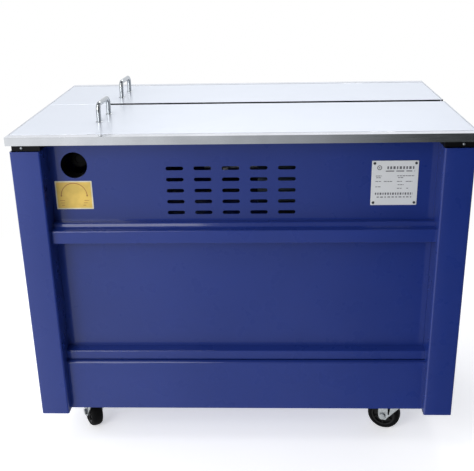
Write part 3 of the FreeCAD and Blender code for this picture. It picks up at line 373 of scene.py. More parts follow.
def bent(mesh, folds, thick, radii, at, across, up, depth):
    """Adds a folded sheet. folds are the (a, b) corners of its middle line, and radii that line's own."""
    line = rounded_path([Vector((a, b, 0)) for a, b in folds], radii, 8)
    sides = []
    for step, point in enumerate(line):
        ahead = (line[min(step + 1, len(line) - 1)] - line[max(step - 1, 0)]).normalized()
        out = Vector((-ahead.y, ahead.x, 0)) * (thick / 2)
        sides.append(((point + out).xy, (point - out).xy))
    outline = [near for near, far in sides] + [far for near, far in reversed(sides)]
    last = len(outline) - 1
    for ring in walls(mesh, outline, at, across, up, depth):
        for step in range(len(sides) - 1):
            mesh.faces.new([ring[step], ring[step + 1], ring[last - step - 1], ring[last - step]])


def rounded_rectangle(wide, high, radius, steps=5):
    """An outline about the origin with rounded corners."""
    points = []
    for quarter, (sx, sy) in enumerate(((1, 1), (-1, 1), (-1, -1), (1, -1))):
        for step in range(steps + 1):
            angle = (quarter + step / steps) * pi / 2
            a = sx * (wide / 2 - radius) + radius * cos(angle)
            b = sy * (high / 2 - radius) + radius * sin(angle)
            points.append((a, b))
    return points


def hexagon(angle):
    """A six-sided form; a ring's radius is then its corner radius."""
    return cos(pi / 6) / cos(angle % (pi / 3) - pi / 6)


def fluted(count, depth):
    """A form with rounded grooves."""
    return lambda angle: 1 - depth * max(0.0, cos(count * angle)) ** 2


def ribbed(count, depth):
    """A form with straight-sided fins; a turned solid needs count * 4 steps for it."""
    return lambda angle: 1 - depth * (round(angle / tau * count * 4) % 4 in (0, 1))


def cross(angle):
    """A plus-shaped form, for a screw's recess."""
    lean = (angle + pi / 4) % (pi / 2) - pi / 4
    return 1.0 if abs(lean) < radians(16) else 0.36


def around(angle):
    """Out from, and across, a circle that faces along Y, at an angle from straight up."""
    out = Z * cos(angle) + X * sin(angle)
    return out, X * cos(angle) - Z * sin(angle)


def in_mm(rows):
    """Profile rows from millimetres into metres; a third number is kept as it is."""
    return [(radius * MM, along * MM, *share) for radius, along, *share in rows]


def mirrored(half):
    """A closed profile from the rows of its half on one side of the middle."""
    return [(radius, -along) for radius, along in half] + half[::-1]


def lathe(at, axis, rows, steps, form=None, closed=False):
    """A mesh of one turned solid; rows are in millimetres."""
    mesh = bmesh.new()
    turned(mesh, at, axis, in_mm(rows), steps, form, closed)
    return mesh


def linked(name, data):
    """An object of the scene, made from its data."""
    thing = bpy.data.objects.new(name, data)
    bpy.context.scene.collection.objects.link(thing)
    return thing


def mesh_data(name, mesh):
    """Mesh data from a finished mesh, its faces turned outwards."""
    bmesh.ops.recalc_face_normals(mesh, faces=mesh.faces)
    data = bpy.data.meshes.new(name)
    mesh.to_mesh(data)
    mesh.free()
    return data


def bevelled(piece, width, segments, angle):
    """Rounds a piece's edges that are sharper than angle."""
    bevel = piece.modifiers.new("soft_edge", "BEVEL")
    bevel.width = width
    bevel.segments = segments
    bevel.limit_method = "ANGLE"
    bevel.angle_limit = radians(angle)


def even_shading(piece):
    """Shades a piece by its larger faces."""
    weighted = piece.modifiers.new("normals", "WEIGHTED_NORMAL")
    weighted.keep_sharp = True


def shown(name, mesh, material, body="chassis", stands_for=(), slot=None, soft_edge=0.0, sharp=35):
    """Turns a finished mesh into a piece that rides on a body."""
    data = mesh_data(name, mesh)
    data.shade_smooth()
    data.set_sharp_from_angle(angle=radians(sharp))
    piece = linked(name, data)
    data.materials.append(material)
    if soft_edge:
        bevelled(piece, soft_edge, 2, sharp)
        even_shading(piece)
    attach(piece, body)
    if stands_for:
        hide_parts(*stands_for)
    return piece


def stand_in(name, mesh, node, body="chassis", material=None, **edges):
    """Shows a finished mesh in place of a CAD node, in the finish of that node's slot."""
    slot = SLOT_OF[node]
    return shown(name, mesh, material or FINISHES[slot], body, [node], slot, **edges)


def solids_of(node):
    """The lowest and highest corners of each separate solid in a CAD node."""
    mesh = bmesh.new()
    mesh.from_mesh(NODES[node].data)
    bmesh.ops.remove_doubles(mesh, verts=mesh.verts, dist=1e-6)
    left = set(mesh.verts)
    boxes = []
    while left:
        found = [left.pop()]
        members = list(found)
        while found:
            for edge in found.pop().link_edges:
                for vert in edge.verts:
                    if vert in left:
                        left.remove(vert)
                        found.append(vert)
                        members.append(vert)
        low = Vector([min(vert.co[i] for vert in members) for i in range(3)])
        high = Vector([max(vert.co[i] for vert in members) for i in range(3)])
        boxes.append((low, high))
    mesh.free()
    return sorted(boxes, key=lambda pair: tuple(round(v, 4) for v in pair[0]))


def box_of(node):
    """A CAD node's lowest and highest corners, and its middle."""
    low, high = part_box(node)
    return low, high, (low + high) / 2


def pivot(body):
    """A point on the body's joint axis, and the axis."""
    joint = next(j for j in frame["joints"] if j["child"] == body)
    return Vector(joint["pos_m"]), Vector(joint["axis"])


def screw_head(mesh, at, axis, radius, high):
    """Adds a pan head with a cross recess, standing on at and rising along axis."""
    profile = [
        (0, 0),
        (radius, 0),
        (radius, high * 0.45),
        (radius * 0.86, high * 0.8),
        (radius * 0.62, high * 0.97),
        (radius * 0.58, high, 1.0),
        (radius * 0.50, high * 0.45, 1.0),
        (0, high * 0.35),
    ]
    turned(mesh, at, axis, profile, 48, cross)


def hex_head(mesh, at, axis, radius, high):
    """Adds a chamfered hexagon head on a washer, standing on at and rising along axis."""
    washer = high * 0.22
    profile = [
        (0, 0),
        (radius * 1.12, 0),
        (radius * 1.12, washer),
        (radius, washer, 1.0),
        (radius, high * 0.9, 1.0),
        (radius * 0.86, high),
        (0, high),
    ]
    turned(mesh, at, axis, profile, 48, hexagon)


def bolts(name, spots, axis, radius, high, body="chassis", material=FINISHES["zinc"]):
    """Hexagon heads of one size, in millimetres, that all face the same way."""
    mesh = bmesh.new()
    for spot in spots:
        hex_head(mesh, spot, axis, radius * MM, high * MM)
    shown(name, mesh, material, body, sharp=30)


def screws(name, spots, axis, radius, high, body, material=FINISHES["zinc"]):
    """Pan heads of one size, in millimetres, that all face the same way."""
    mesh = bmesh.new()
    for spot in spots:
        screw_head(mesh, spot, axis, radius * MM, high * MM)
    shown(name, mesh, material, body, sharp=40)


def dress(node, soft_edge, segments=2):
    """Gives a CAD node its finish, joins its split faces and rounds its sharp edges a little."""
    piece = NODES[node]
    for slot in piece.material_slots:
        slot.material = FINISHES[SLOT_OF[node]]
    weld = piece.modifiers.new("weld", "WELD")
    weld.merge_threshold = 0.002 * MM
    merge = piece.modifiers.new("merge", "DECIMATE")
    merge.decimate_type = "DISSOLVE"
    merge.angle_limit = radians(0.4)
    bevelled(piece, soft_edge, segments, 38)
    even_shading(piece)


# ---------------------------------------------------------------- table


def build_handle(node, body):
    """A polished bow handle: a bent bar through two collars, with a washer and nut under the sheet."""
    low, high, middle = box_of(node)
    radius = 5 * MM
    turn = radians(4)
    half_span = 38.5 * MM
    half = Vector((sin(turn), cos(turn), 0)) * half_span
    feet = [Vector((middle.x, middle.y, low.z)) + half * side for side in (-1, 1)]
    rise = Z * (high.z - radius - low.z)
    mesh = bmesh.new()
    corners = [feet[0], feet[0] + rise, feet[1] + rise, feet[1]]
    swept(mesh, rounded_path(corners, [11 * MM] * 2, 14), radius, 32)
    stand_in(node + "_bow", mesh, node, body, sharp=50)
    mesh = bmesh.new()
    for foot in feet:
        rim = [(radius, 0), (radius + 2.4 * MM, 0), (radius + 2.4 * MM, 0.5 * MM)]
        rim += [(radius + 1.4 * MM, 1.3 * MM), (radius, 1.5 * MM)]
        turned(mesh, foot + Z * 5 * MM, Z, rim, 40, closed=True)
        hex_head(mesh, foot + Z * 3 * MM, -Z, 8.0 * MM, 2.9 * MM)
    shown(node + "_collars", mesh, FINISHES["chrome"], body, sharp=40)


def build_slot_shade_strips():
    """Black strips with chamfered edges on the leaves' downturned edges along the strap slot: painted shade, dark
    sheets where those edges lie in shadow.
    """
    middle = (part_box("service_table_leaf")[1].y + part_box("operator_table_leaf")[0].y) / 2
    for side, name in ((-1, "service"), (1, "operator")):
        node = name + "_table_leaf"
        low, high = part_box(node)
        edge = middle + side * 10 * MM
        points = [vert.co for vert in NODES[node].data.vertices]
        start = min(co.x for co in points if abs(co.y - edge) < 0.1 * MM) + 0.6 * MM
        section = in_mm([(0, 0.5), (0.25, 0.5), (0.45, 0.9), (0.45, 8.9), (0.25, 9.3), (0, 9.3)])
        mesh = bmesh.new()
        prism(mesh, section, (start, edge, low.z), Y * -side, Z, X * (high.x - 3 * MM - start))
        # Painted shade: a near-black strip that darkens the slot's edge.
        shown(name + "_slot_shade_strip", mesh, SHADE_BLACK, name + "_leaf", sharp=30)


def build_table():
    """The leaves with their handles and the slot's strips of painted shade, on their rim, support and hinges."""
    for node in ("service_table_leaf", "operator_table_leaf"):
        dress(node, 0.5 * MM)
    dress("table_rim", 0.4 * MM)
    dress("table_support", 0.8 * MM)
    dress("table_hinges", 0.2 * MM)
    build_handle("service_table_handle", "service_leaf")
    build_handle("operator_table_handle", "operator_leaf")
    build_slot_shade_strips()


# ---------------------------------------------------------------- cabinet


SHEET = 2 * MM
FOLD = 2.8 * MM
NEAR = 0.05 * MM


def corners_at(node, y):
    """How near the middle a CAD node's points come in X, among those at a distance y from it."""
    points = [vert.co for vert in NODES[node].data.vertices]
    return min(abs(co.x) for co in points if abs(abs(co.y) - y) < NEAR)


def build_posts():
    """The corner posts and the stiles beside them, as folded sheets with rounded bends."""
    mesh = bmesh.new()
    half = SHEET / 2
    low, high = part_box("corner_posts")
    inner = corners_at("corner_posts", high.y)
    wide = high.x - inner
    lip = high.y - 29 * MM
    stile_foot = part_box("base_frame")[1].z - 2 * MM
    stile_in = min(corner.y for pair in solids_of("corner_posts") for corner in pair if corner.y > 0)
    stile_reach = min(abs(vert.co.x) for vert in NODES["corner_posts"].data.vertices)
    post = [
        (inner + half, lip),
        (inner + half, high.y - half),
        (high.x - half, high.y - half),
        (high.x - half, high.y - wide),
    ]
    stile = [(inner + half, lip), (inner + half, stile_in + half), (stile_reach, stile_in + half)]
    for sx, sy in ((-1, -1), (-1, 1), (1, -1), (1, 1)):
        for line, radii, foot in ((post, [FOLD] * 2, low.z), (stile, [1.6 * MM], stile_foot)):
            folds = [(sx * a, sy * b) for a, b in line]
            bent(mesh, folds, SHEET, radii, (0, 0, foot), X, Y, Z * (high.z - foot))
    stand_in("corner_posts_folded", mesh, "corner_posts", sharp=40)


def long_sides(node):
    """Each solid of a CAD node along a long side: its box, side, front, back, and its front's top."""
    points = [vert.co for vert in NODES[node].data.vertices]
    for low, high in solids_of(node):
        sy = 1 if high.y > 0 else -1
        front, back = (high.y, low.y) if sy > 0 else (low.y, high.y)
        inside = [co for co in points if low.z - MM < co.z < high.z + MM]
        inside = [co for co in inside if low.x - MM < co.x < high.x + MM]
        top = max(co.z for co in inside if abs(co.y - front) < NEAR)
        yield low, high, sy, front, back, top


def build_rails():
    """The rails and skirts of both long sides, as folded sheets with rounded bends."""
    mesh = bmesh.new()
    half = SHEET / 2
    for low, high, sy, front, back, top in long_sides("cross_rails"):
        folds = [
            (back, low.z + half),
            (front - sy * half, low.z + half),
            (front - sy * half, top - half),
        ]
        radii = [1.6 * MM, 1.7 * MM]
        if high.z - top > 6 * MM:
            folds.append((front - sy * 17.4 * MM, top + 1 * MM - half))
            folds.append((front - sy * 23.9 * MM, high.z - half))
            radii += [9 * MM, 4 * MM]
        folds.append((back, high.z - half))
        bent(mesh, folds, SHEET, radii, (low.x, 0, 0), Y, Z, X * (high.x - low.x))
    stand_in("cross_rails_folded", mesh, "cross_rails", sharp=40)
    mesh = bmesh.new()
    for low, high, sy, front, back, top in long_sides("lower_skirts"):
        if abs(front - back) < 1.5 * SHEET:
            block(mesh, low, high)
            continue
        folds = [
            (front - sy * half, low.z),
            (front - sy * half, top - 1.2 * MM),
            (front - sy * 3.2 * MM, top + 0.6 * MM),
            (back, high.z - half * 1.2),
        ]
        bent(mesh, folds, SHEET, [1.2 * MM] * 2, (low.x, 0, 0), Y, Z, X * (high.x - low.x))
    stand_in("lower_skirts_folded", mesh, "lower_skirts", sharp=40)


def build_cabinet():
    """The welded frame, its panels and the reel door."""
    build_posts()
    build_rails()
    for node in ("base_frame", "reel_door"):
        dress(node, 0.9 * MM, 3)
    for node in ("service_upper_panel", "service_lower_panel", "operator_upper_panel", "side_panels"):
        dress(node, 0.4 * MM)


def build_nameplate():
    """The data plate: an etched aluminium sheet with rows of plain bars and a ring; its four dark screws are made
    with the panel screws.
    """
    low, high, middle = box_of("nameplate")
    wide = high.x - low.x
    tall = high.z - low.z
    front = low.y
    mesh = bmesh.new()
    outline = rounded_rectangle(wide, tall, 1.5 * MM)
    prism(mesh, outline, (middle.x, high.y, middle.z), X, Z, Y * (front - high.y))
    stand_in("nameplate_sheet", mesh, "nameplate", "chassis", PLATE_FACE, soft_edge=0.2 * MM)

    marks = bmesh.new()
    ink = 0.12 * MM

    def bar(left, top, long, thick):
        """A bar at shares of the plate's width and height from its top left corner."""
        a = low.x + left * wide
        b = high.z - top * tall
        block(marks, (a, front - ink, b - thick * tall), (a + long * wide, front, b))

    def words(left, right, top, thick, long, gap):
        """A row of bars of uneven length."""
        reach = left
        count = 0
        while reach < right:
            share = long * (0.75 + 0.5 * (sin(count * 2.4 + top * 31) * 0.5 + 0.5))
            bar(reach, top, min(share, right - reach), thick)
            reach += share + gap
            count += 1

    words(0.33, 0.92, 0.125, 0.060, 0.040, 0.028)
    words(0.30, 0.92, 0.220, 0.022, 0.16, 0.045)
    for top, columns in (
        (0.33, ((0.09, 0.22), (0.55, 0.92))),
        (0.37, ((0.10, 0.20), (0.57, 0.68))),
        (0.455, ((0.09, 0.22), (0.27, 0.46), (0.55, 0.66), (0.74, 0.88))),
        (0.53, ((0.57, 0.70),)),
        (0.575, ((0.09, 0.21),)),
        (0.61, ((0.56, 0.66), (0.76, 0.80))),
    ):
        for left, right in columns:
            words(left, right, top, 0.016, 0.05, 0.012)
    words(0.09, 0.90, 0.715, 0.050, 0.030, 0.024)
    words(0.13, 0.88, 0.805, 0.022, 0.05, 0.03)
    shown("nameplate_marks", marks, PRINT_DARK)

    ring = bmesh.new()
    at = (low.x + 0.165 * wide, front, high.z - 0.155 * tall)
    loop = [(0.036 * wide, 0), (0.052 * wide, 0), (0.052 * wide, ink), (0.036 * wide, ink)]
    turned(ring, at, -Y, loop, 40, closed=True)
    turned(ring, at, -Y, [(0, 0), (0.014 * wide, 0), (0.014 * wide, ink), (0, ink)], 24)
    shown("nameplate_ring", ring, PRINT_DARK)


def build_tension_label():
    """The sticker under the adjuster hole: a turning arc between two dots, in a pale border."""
    low, high, middle = box_of("tension_label")
    wide = high.x - low.x
    tall = high.z - low.z
    sheet = high.y - low.y
    mesh = bmesh.new()
    prism(mesh, rounded_rectangle(wide, tall, 1.0 * MM), (middle.x, high.y, middle.z), X, Z, Y * -sheet * 0.6)
    border = shown("tension_label_border", mesh, LABEL_EDGE)
    border.visible_glossy = False
    mesh = bmesh.new()
    inner = rounded_rectangle(wide - 5 * MM, tall - 5 * MM, 0.8 * MM)
    prism(mesh, inner, (middle.x, high.y, middle.z), X, Z, Y * -sheet)
    face = stand_in("tension_label_face", mesh, "tension_label")
    face.visible_glossy = False

    mesh = bmesh.new()
    ink = 0.08 * MM
    centre = Vector((middle.x, low.y, middle.z - 0.02 * tall))
    radius = 0.36 * wide
    steps = 36
    for step in range(steps):
        corners = []
        for turn, reach in ((step, 1.0), (step + 1, 1.0), (step + 1, 0.945), (step, 0.945)):
            angle = pi * turn / steps
            corners.append((radius * reach * cos(angle), radius * reach * sin(angle)))
        prism(mesh, corners, centre, X, Z, Y * -ink)
    shown("tension_label_arc", mesh, PRINT_RED)
    mesh = bmesh.new()
    for side in (-1, 1):
        at = centre + X * (side * radius * 0.972)
        turned(mesh, at, -Y, [(0, 0), (1.7 * MM, 0), (1.7 * MM, ink), (0, ink)], 20)
        for row in range(3):
            a = centre.x + side * (0.33 - 0.02 * row) * wide - 5 * MM
            b = centre.z - (0.18 + 0.085 * row) * tall
            block(mesh, (a, low.y - ink * 0.6, b), (a + (10 - 2 * row) * MM, low.y, b + 1.1 * MM))
    shown("tension_label_marks", mesh, PRINT_RED)


def build_painted_shade_sleeve():
    """A short black sleeve behind the adjuster's hole, with the knob deep in it: painted shade, a dark piece that
    makes the hole read black.
    """
    at = pivot("tension_adjuster")[0]
    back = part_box("service_upper_panel")[1].y
    rows = [(27, 0), (27, 34), (28.2, 34), (28.2, 2), (32, 2), (32, 0)]
    mesh = lathe((at.x, back + NEAR, at.z), Y, rows, 64, closed=True)
    # The sleeve is painted shade: near-black, so the hole reads as deep shadow.
    shown("painted_shade_sleeve", mesh, SHADE_BLACK, sharp=40)


def build_screws():
    """Pan heads on the panel screws, turned the way each CAD screw faces."""
    mesh = bmesh.new()
    dark = bmesh.new()
    plate_low, plate_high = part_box("nameplate")
    for low, high in solids_of("panel_screws"):
        size = high - low
        thin = min(range(3), key=lambda i: size[i])
        middle = (low + high) / 2
        way = Vector((0, 0, 0))
        way[thin] = 1 if middle[thin] > 0 else -1
        start = middle - way * size[thin] / 2
        radius = sorted(size)[1] / 2
        on_plate = plate_low.x < middle.x < plate_high.x and middle.y < 0
        screw_head(dark if on_plate else mesh, start, way, radius, size[thin])
    stand_in("cabinet_screws", mesh, "panel_screws", sharp=40)
    shown("nameplate_screws", dark, SCREW_DARK, sharp=40)


# ---------------------------------------------------------------- casters


def build_caster(name):
    """A rubber-tyred wheel on a ribbed core, and the bolts of its fork."""
    at, axis = pivot(name + "_roll")
    low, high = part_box(name + "_caster_wheel")
    radius = (high.z - low.z) / 2 / MM
    tyre = [(27, 11.4), (27.8, 13.2), (radius - 8.6, 14), (radius - 7.2, 13.8), (radius - 4.2, 12.5)]
    tyre += [(radius - 2.5, 10.8), (radius - 1.3, 8.8), (radius - 0.4, 6.4), (radius, 3.5)]
    mesh = lathe(at, axis, mirrored(tyre), 96, closed=True)
    stand_in(name + "_tyre", mesh, name + "_caster_wheel", name + "_roll", sharp=50)
    core = [(4.4, 13.4), (9.5, 13.4), (10.5, 12.4), (11.5, 6.5), (22.5, 6.5), (23.5, 11.6), (27.6, 12)]
    mesh = lathe(at, axis, mirrored(core), 72, closed=True)
    side_way = axis.cross(Z).normalized()
    web = axis * 10.8 * MM
    for spoke in range(6):
        angle = spoke / 6 * tau
        out = Z * cos(angle) + side_way * sin(angle)
        outline = in_mm([(-1.1, 10), (1.1, 10), (1.1, 23.4), (-1.1, 23.4)])
        prism(mesh, outline, at - web, axis.cross(out).normalized(), out, web * 2)
    shown(name + "_wheel_core", mesh, CORE_BLACK, name + "_roll", sharp=40)

    dress(name + "_caster_fork", 0.35 * MM)
    nuts = bmesh.new()
    for side in (-1, 1):
        hex_head(nuts, at + axis * side * 18.1 * MM, axis * side, 7.4 * MM, 4.2 * MM)
    shown(name + "_axle_nuts", nuts, FINISHES["zinc"], name + "_swivel", sharp=30)


def build_casters():
    """The swivel plates with their nuts, and the four casters."""
    dress("caster_plates", 0.5 * MM)
    spots = []
    for low, high in solids_of("caster_plates"):
        if high.x - low.x > 70 * MM:
            a, b = ((low + high) / 2).xy
            spots += [(a + x * MM, b + y * MM, low.z) for x in (-32, 32) for y in (-27, 27)]
    bolts("caster_plate_nuts", spots, -Z, 5.2, 4)
    for name in ("service_left", "service_right", "operator_left", "operator_right"):
        build_caster(name)


# ---------------------------------------------------------------- deck, head and drive


def build_bearings():
    """Ball bearings of the camshaft: outer race, sunk shield and inner race."""
    mesh = bmesh.new()
    at, axis = pivot("camshaft")
    for low, high in solids_of("cam_bearings"):
        half = [(8.05, 4.6), (8.4, 5), (10, 5), (10.2, 4.2), (12, 4.2), (12.2, 5), (13.6, 5), (14, 4.6)]
        middle = ((low.x + high.x) / 2, at.y, at.z)
        turned(mesh, middle, axis, in_mm(mirrored(half)), 48, closed=True)
    stand_in("cam_bearing_races", mesh, "cam_bearings", sharp=40)


def build_camshaft():
    """The camshaft: a ground shaft, three eccentric discs with chamfered rims, and spacer collars."""
    at, axis = pivot("camshaft")
    low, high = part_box("cam_shaft")
    long = (high.x - low.x) / MM
    rows = [(0, 0), (7.2, 0), (8, 0.8), (8, long - 0.8), (7.2, long), (0, long)]
    mesh = lathe((low.x, at.y, at.z), axis, rows, 48)
    for node in ("left_gripper", "seal_press", "right_gripper"):
        slider_low, slider_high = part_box(node)
        middle = Vector(((slider_low.x + slider_high.x) / 2, at.y, at.z))
        rim = [(0, -7), (14.4, -7), (15.2, -6.6), (16, -5.6), (16, 5.6), (15.2, 6.6), (14.4, 7), (0, 7)]
        throw = 6 * MM
        turned(mesh, middle - Z * throw, axis, in_mm(rim), 64)
        for side in (-1, 1):
            collar = [(8, side * 7), (9.8, side * 7), (9.8, side * 9.6), (9.2, side * 10.2), (8, side * 10.2)]
            turned(mesh, middle, axis, in_mm(collar), 32, closed=True)
    stand_in("camshaft_turned", mesh, "cam_shaft", "camshaft")


def build_gearbox():
    """The reducer: a rounded case between two bolted covers on a foot, with shaft bosses and a plug."""
    low, high, middle = box_of("gearbox")
    mesh = bmesh.new()
    foot = 8 * MM
    block(mesh, low, (high.x, high.y, low.z + foot))
    centre = Vector((0, middle.y, middle.z + 3 * MM))
    for start, end, wide, tall in ((5, 53, 79, 109), (1.5, 5, 73, 103), (53, 56.5, 73, 103)):
        outline = rounded_rectangle(wide * MM, tall * MM, 12 * MM)
        prism(mesh, outline, centre + X * (low.x + start * MM), Y, Z, X * ((end - start) * MM))
    for step in range(4):
        a = low.x + (11 + step * 11) * MM
        block(mesh, (a, low.y + 1 * MM, low.z + foot), (a + 3 * MM, high.y - 1 * MM, high.z - 16 * MM))
    stand_in("gearbox_case", mesh, "gearbox", soft_edge=1 * MM)
    at = pivot("reducer_input")[0]
    bosses = bmesh.new()
    for start, way, bore in ((high.x - 1.5 * MM, 1, 7.1), (low.x + 1.5 * MM, -1, 8.1)):
        rows = [(bore, 0), (20, 0), (20, 0.8), (18.6, 1.5), (12, 1.5), (11.4, 0.7), (bore, 0.7)]
        turned(bosses, (start, at.y, at.z), X * way, in_mm(rows), 48, closed=True)
    shown("gearbox_bosses", bosses, FINISHES["steel"])
    cover = high.x - 1.5 * MM
    spots = [(cover, centre.y + y * MM, centre.z + z * MM) for y in (-30, 30) for z in (-44, 0, 44)]
    bolts("gearbox_bolts", spots, X, 3.2, 1.5)
    spots = [(x, low.y + 4.5 * MM, low.z + foot) for x in (low.x + 6 * MM, high.x - 6 * MM)]
    bolts("gearbox_foot_bolts", spots, Z, 4, 3.5)
    spots = [(middle.x, low.y + 3.2 * MM, middle.z + 30 * MM)]
    bolts("gearbox_plug", spots, -Y, 6, 3, material=BRASS)


def build_pulley(node, body, axle, reach):
    """A flat-belt pulley: crowned rim, sunk web, hub and its shaft."""
    at, axis = pivot(body)
    low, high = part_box(node)
    radius = (high.z - low.z) / 2 / MM
    hub = axle + 4
    rim = radius - 4
    rows = [(0, -reach), (axle - 0.6, -reach), (axle, 0.6 - reach), (axle, -8), (hub, -8), (hub + 0.6, -3.5)]
    rows += [(rim - 0.6, -3.5), (rim, -8), (radius - 0.8, -8), (radius - 0.4, -7.6), (radius, -2.5)]
    rows += [(radius, 2.5), (radius - 0.4, 7.6), (radius - 0.8, 8), (rim, 8), (rim - 0.6, 3.5)]
    rows += [(hub + 0.6, 3.5), (hub, 8), (axle + 3, 8.2), (axle + 3, 11.4), (axle + 2.4, 12), (axle, 12)]
    rows += [(axle - 0.5, 10.8), (0, 10.8)]
    stand_in(node + "_turned", lathe(at, axis, rows, 96), node, body)
    bolts(node + "_screw", [at + axis * 10.8 * MM], axis, axle - 1.5, 2.2, body)


def build_main_motor():
    """The main motor: slotted fan cowl, finned barrel, end bell, webbed feet and a terminal box."""
    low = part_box("main_motor")[0]
    at, axis = pivot("motor_rotor")
    rows = [(0, 3), (11, 3), (12, 0.5), (17, 0.5), (18, 3), (22, 3), (23, 0.5), (28, 0.5), (29, 3)]
    rows += [(33, 3), (34, 0.5), (40, 0.2), (43.5, 2), (44.6, 6), (44.6, 26.5), (40.1, 27), (44.6, 27.4, 1.0)]
    rows += [(44.6, 100, 1.0), (40.1, 100.4), (44.6, 100.8), (44.6, 104), (42.5, 107), (40, 108.5), (22, 111)]
    rows += [(20, 119.5), (6.6, 119.8), (6.4, 102), (0, 102)]
    barrel = lathe((low.x, at.y, at.z), axis, rows, 128, ribbed(32, 0.10))
    stand_in("main_motor_barrel", barrel, "main_motor")
    feet = bmesh.new()
    block(feet, (48 * MM, at.y - 35 * MM, low.z), (132 * MM, at.y + 35 * MM, low.z + 4 * MM))
    for x in (62, 114):
        outline = in_mm([(-30, 4), (30, 4), (33, 34), (-33, 34)])
        prism(feet, outline, (x * MM, at.y, low.z), Y, Z, X * 4 * MM)
    block(feet, (74 * MM, low.y + 2.2 * MM, low.z + 8 * MM), (108 * MM, at.y, low.z + 34 * MM))
    shown("main_motor_feet", feet, FINISHES["motor_paint"], soft_edge=0.8 * MM)
    lid = bmesh.new()
    block(lid, (73 * MM, low.y + 0.6 * MM, low.z + 7 * MM), (109 * MM, low.y + 2.2 * MM, low.z + 35 * MM))
    for x in (76, 106):
        for z in (10, 32):
            screw_head(lid, (x * MM, low.y + 0.6 * MM, low.z + z * MM), -Y, 1.7 * MM, 0.6 * MM)
    shown("terminal_lid", lid, FINISHES["black_plastic"], soft_edge=0.3 * MM)
    spots = [(x * MM, at.y + y * MM, low.z + 4 * MM) for x in (54, 126) for y in (-29, 29)]
    bolts("main_motor_bolts", spots, Z, 4.5, 3.5)


def build_head():
    """The sealing head with its bearings, camshaft, grippers, press, anvil plate and heater blade."""
    for node in ("head_frame", "left_gripper", "right_gripper", "seal_press", "slot_guides", "slide_plate"):
        dress(node, 0.4 * MM)
    dress("heater_arm", 0.15 * MM)
    build_bearings()
    build_camshaft()
    for side, name in ((-1, "head_bolts_left"), (1, "head_bolts_right")):
        spots = [(side * 80 * MM, y * MM, z * MM) for y in (17, 38) for z in (658, 692)]
        bolts(name, spots, X * side, 4, 3)
    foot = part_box("head_frame")[0].z + 10 * MM
    spots = [(x * MM, y * MM, foot) for x in (-84.5, 84.5) for y in (-13, 98)]
    bolts("head_foot_bolts", spots, Z, 4.2, 3.6)
    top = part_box("slide_plate")[1]
    spots = [(x * MM, top.y - 7 * MM, top.z) for x in (-48, 48)]
    screws("slide_plate_screws", spots, Z, 2.8, 0.7, "anvil_slide", SCREW_DARK)
    at = pivot("heater")[0]
    bolts("heater_screw", [(at.x, at.y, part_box("heater_arm")[1].z)], Z, 6, 2.6, "heater", BRASS)


def build_drive():
    """The deck, the motor and the reducer, with the belt between their pulleys."""
    dress("mechanism_deck", 0.6 * MM)
    dress("drive_belt", 0.3 * MM)
    build_gearbox()
    build_pulley("gearbox_pulley", "reducer_input", 7, 30)
    build_pulley("motor_pulley", "motor_rotor", 6, 42)
    build_main_motor()


def build_feed():
    """The strap feed: plate, can motor on its gear head, knurled and rubber rollers; the tension knob is built on
    its own.
    """
    dress("roller_frame", 0.5 * MM)
    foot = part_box("roller_frame")[0].z + 4 * MM
    spots = [(x * MM, -18 * MM, foot) for x in (-352, -268, -184)]
    bolts("roller_frame_bolts", spots, Z, 5, 4)

    centre = pivot("feed_drum")[0]
    centre.y = 0
    rows = [(0, -95), (8, -95), (9, -93.8), (20, -93.8), (21, -95), (25.5, -95), (27.6, -93.5), (28, -92)]
    rows += [(28, -86), (27.2, -85.6), (27.2, -84.4), (28, -84), (28, -42), (27.2, -41.6), (27.2, -40.4)]
    rows += [(28, -40), (28, -27), (0, -27)]
    shown("feed_motor_can", lathe(centre, Y, rows, 72), FINISHES["black_steel"])
    mesh = bmesh.new()
    outline = rounded_rectangle(52 * MM, 52 * MM, 5 * MM)
    prism(mesh, outline, centre - Y * 27 * MM, X, Z, Y * 25 * MM)
    prism(mesh, rounded_rectangle(48 * MM, 48 * MM, 4 * MM), centre - Y * 2 * MM, X, Z, Y * 5 * MM)
    stand_in("feed_gear_head", mesh, "feed_motor", soft_edge=0.6 * MM)
    spots = [centre + Vector((x, -27, z)) * MM for x in (-21.5, 21.5) for z in (-21.5, 21.5)]
    bolts("feed_motor_bolts", spots, -Y, 3, 2.6)

    rows = [(0, -16), (5.5, -16), (6, -15.5), (6, 18), (23.6, 18), (25, 19.4, 1.0), (25, 35.6, 1.0)]
    rows += [(23.6, 37), (12, 37), (11, 35.4), (0, 35.4)]
    mesh = lathe(centre, Y, rows, 192, ribbed(48, 0.035))
    hex_head(mesh, centre + Y * 35.4 * MM, Y, 5 * MM, 3 * MM)
    stand_in("feed_roller_knurled", mesh, "feed_roller", "feed_drum")

    centre.z = pivot("pinch_drum")[0].z
    rows = [(13, 18.3), (18.8, 18.3), (20, 19.5), (20, 35.5), (18.8, 36.7), (13, 36.7)]
    mesh = lathe(centre, Y, rows, 72, closed=True)
    stand_in("pinch_roller_tyre", mesh, "pinch_roller", "pinch_drum", FINISHES["belt_rubber"])
    rows = [(6.05, 18.5), (8.6, 18.5), (8.8, 19.2), (11, 19.2), (11.2, 18.5), (13, 18.5), (13, 36.5)]
    rows += [(11.2, 36.5), (11, 35.8), (8.8, 35.8), (8.6, 36.5), (6.05, 36.5)]
    mesh = lathe(centre, Y, rows, 48, closed=True)
    shown("pinch_roller_bearing", mesh, FINISHES["steel"], "pinch_drum")


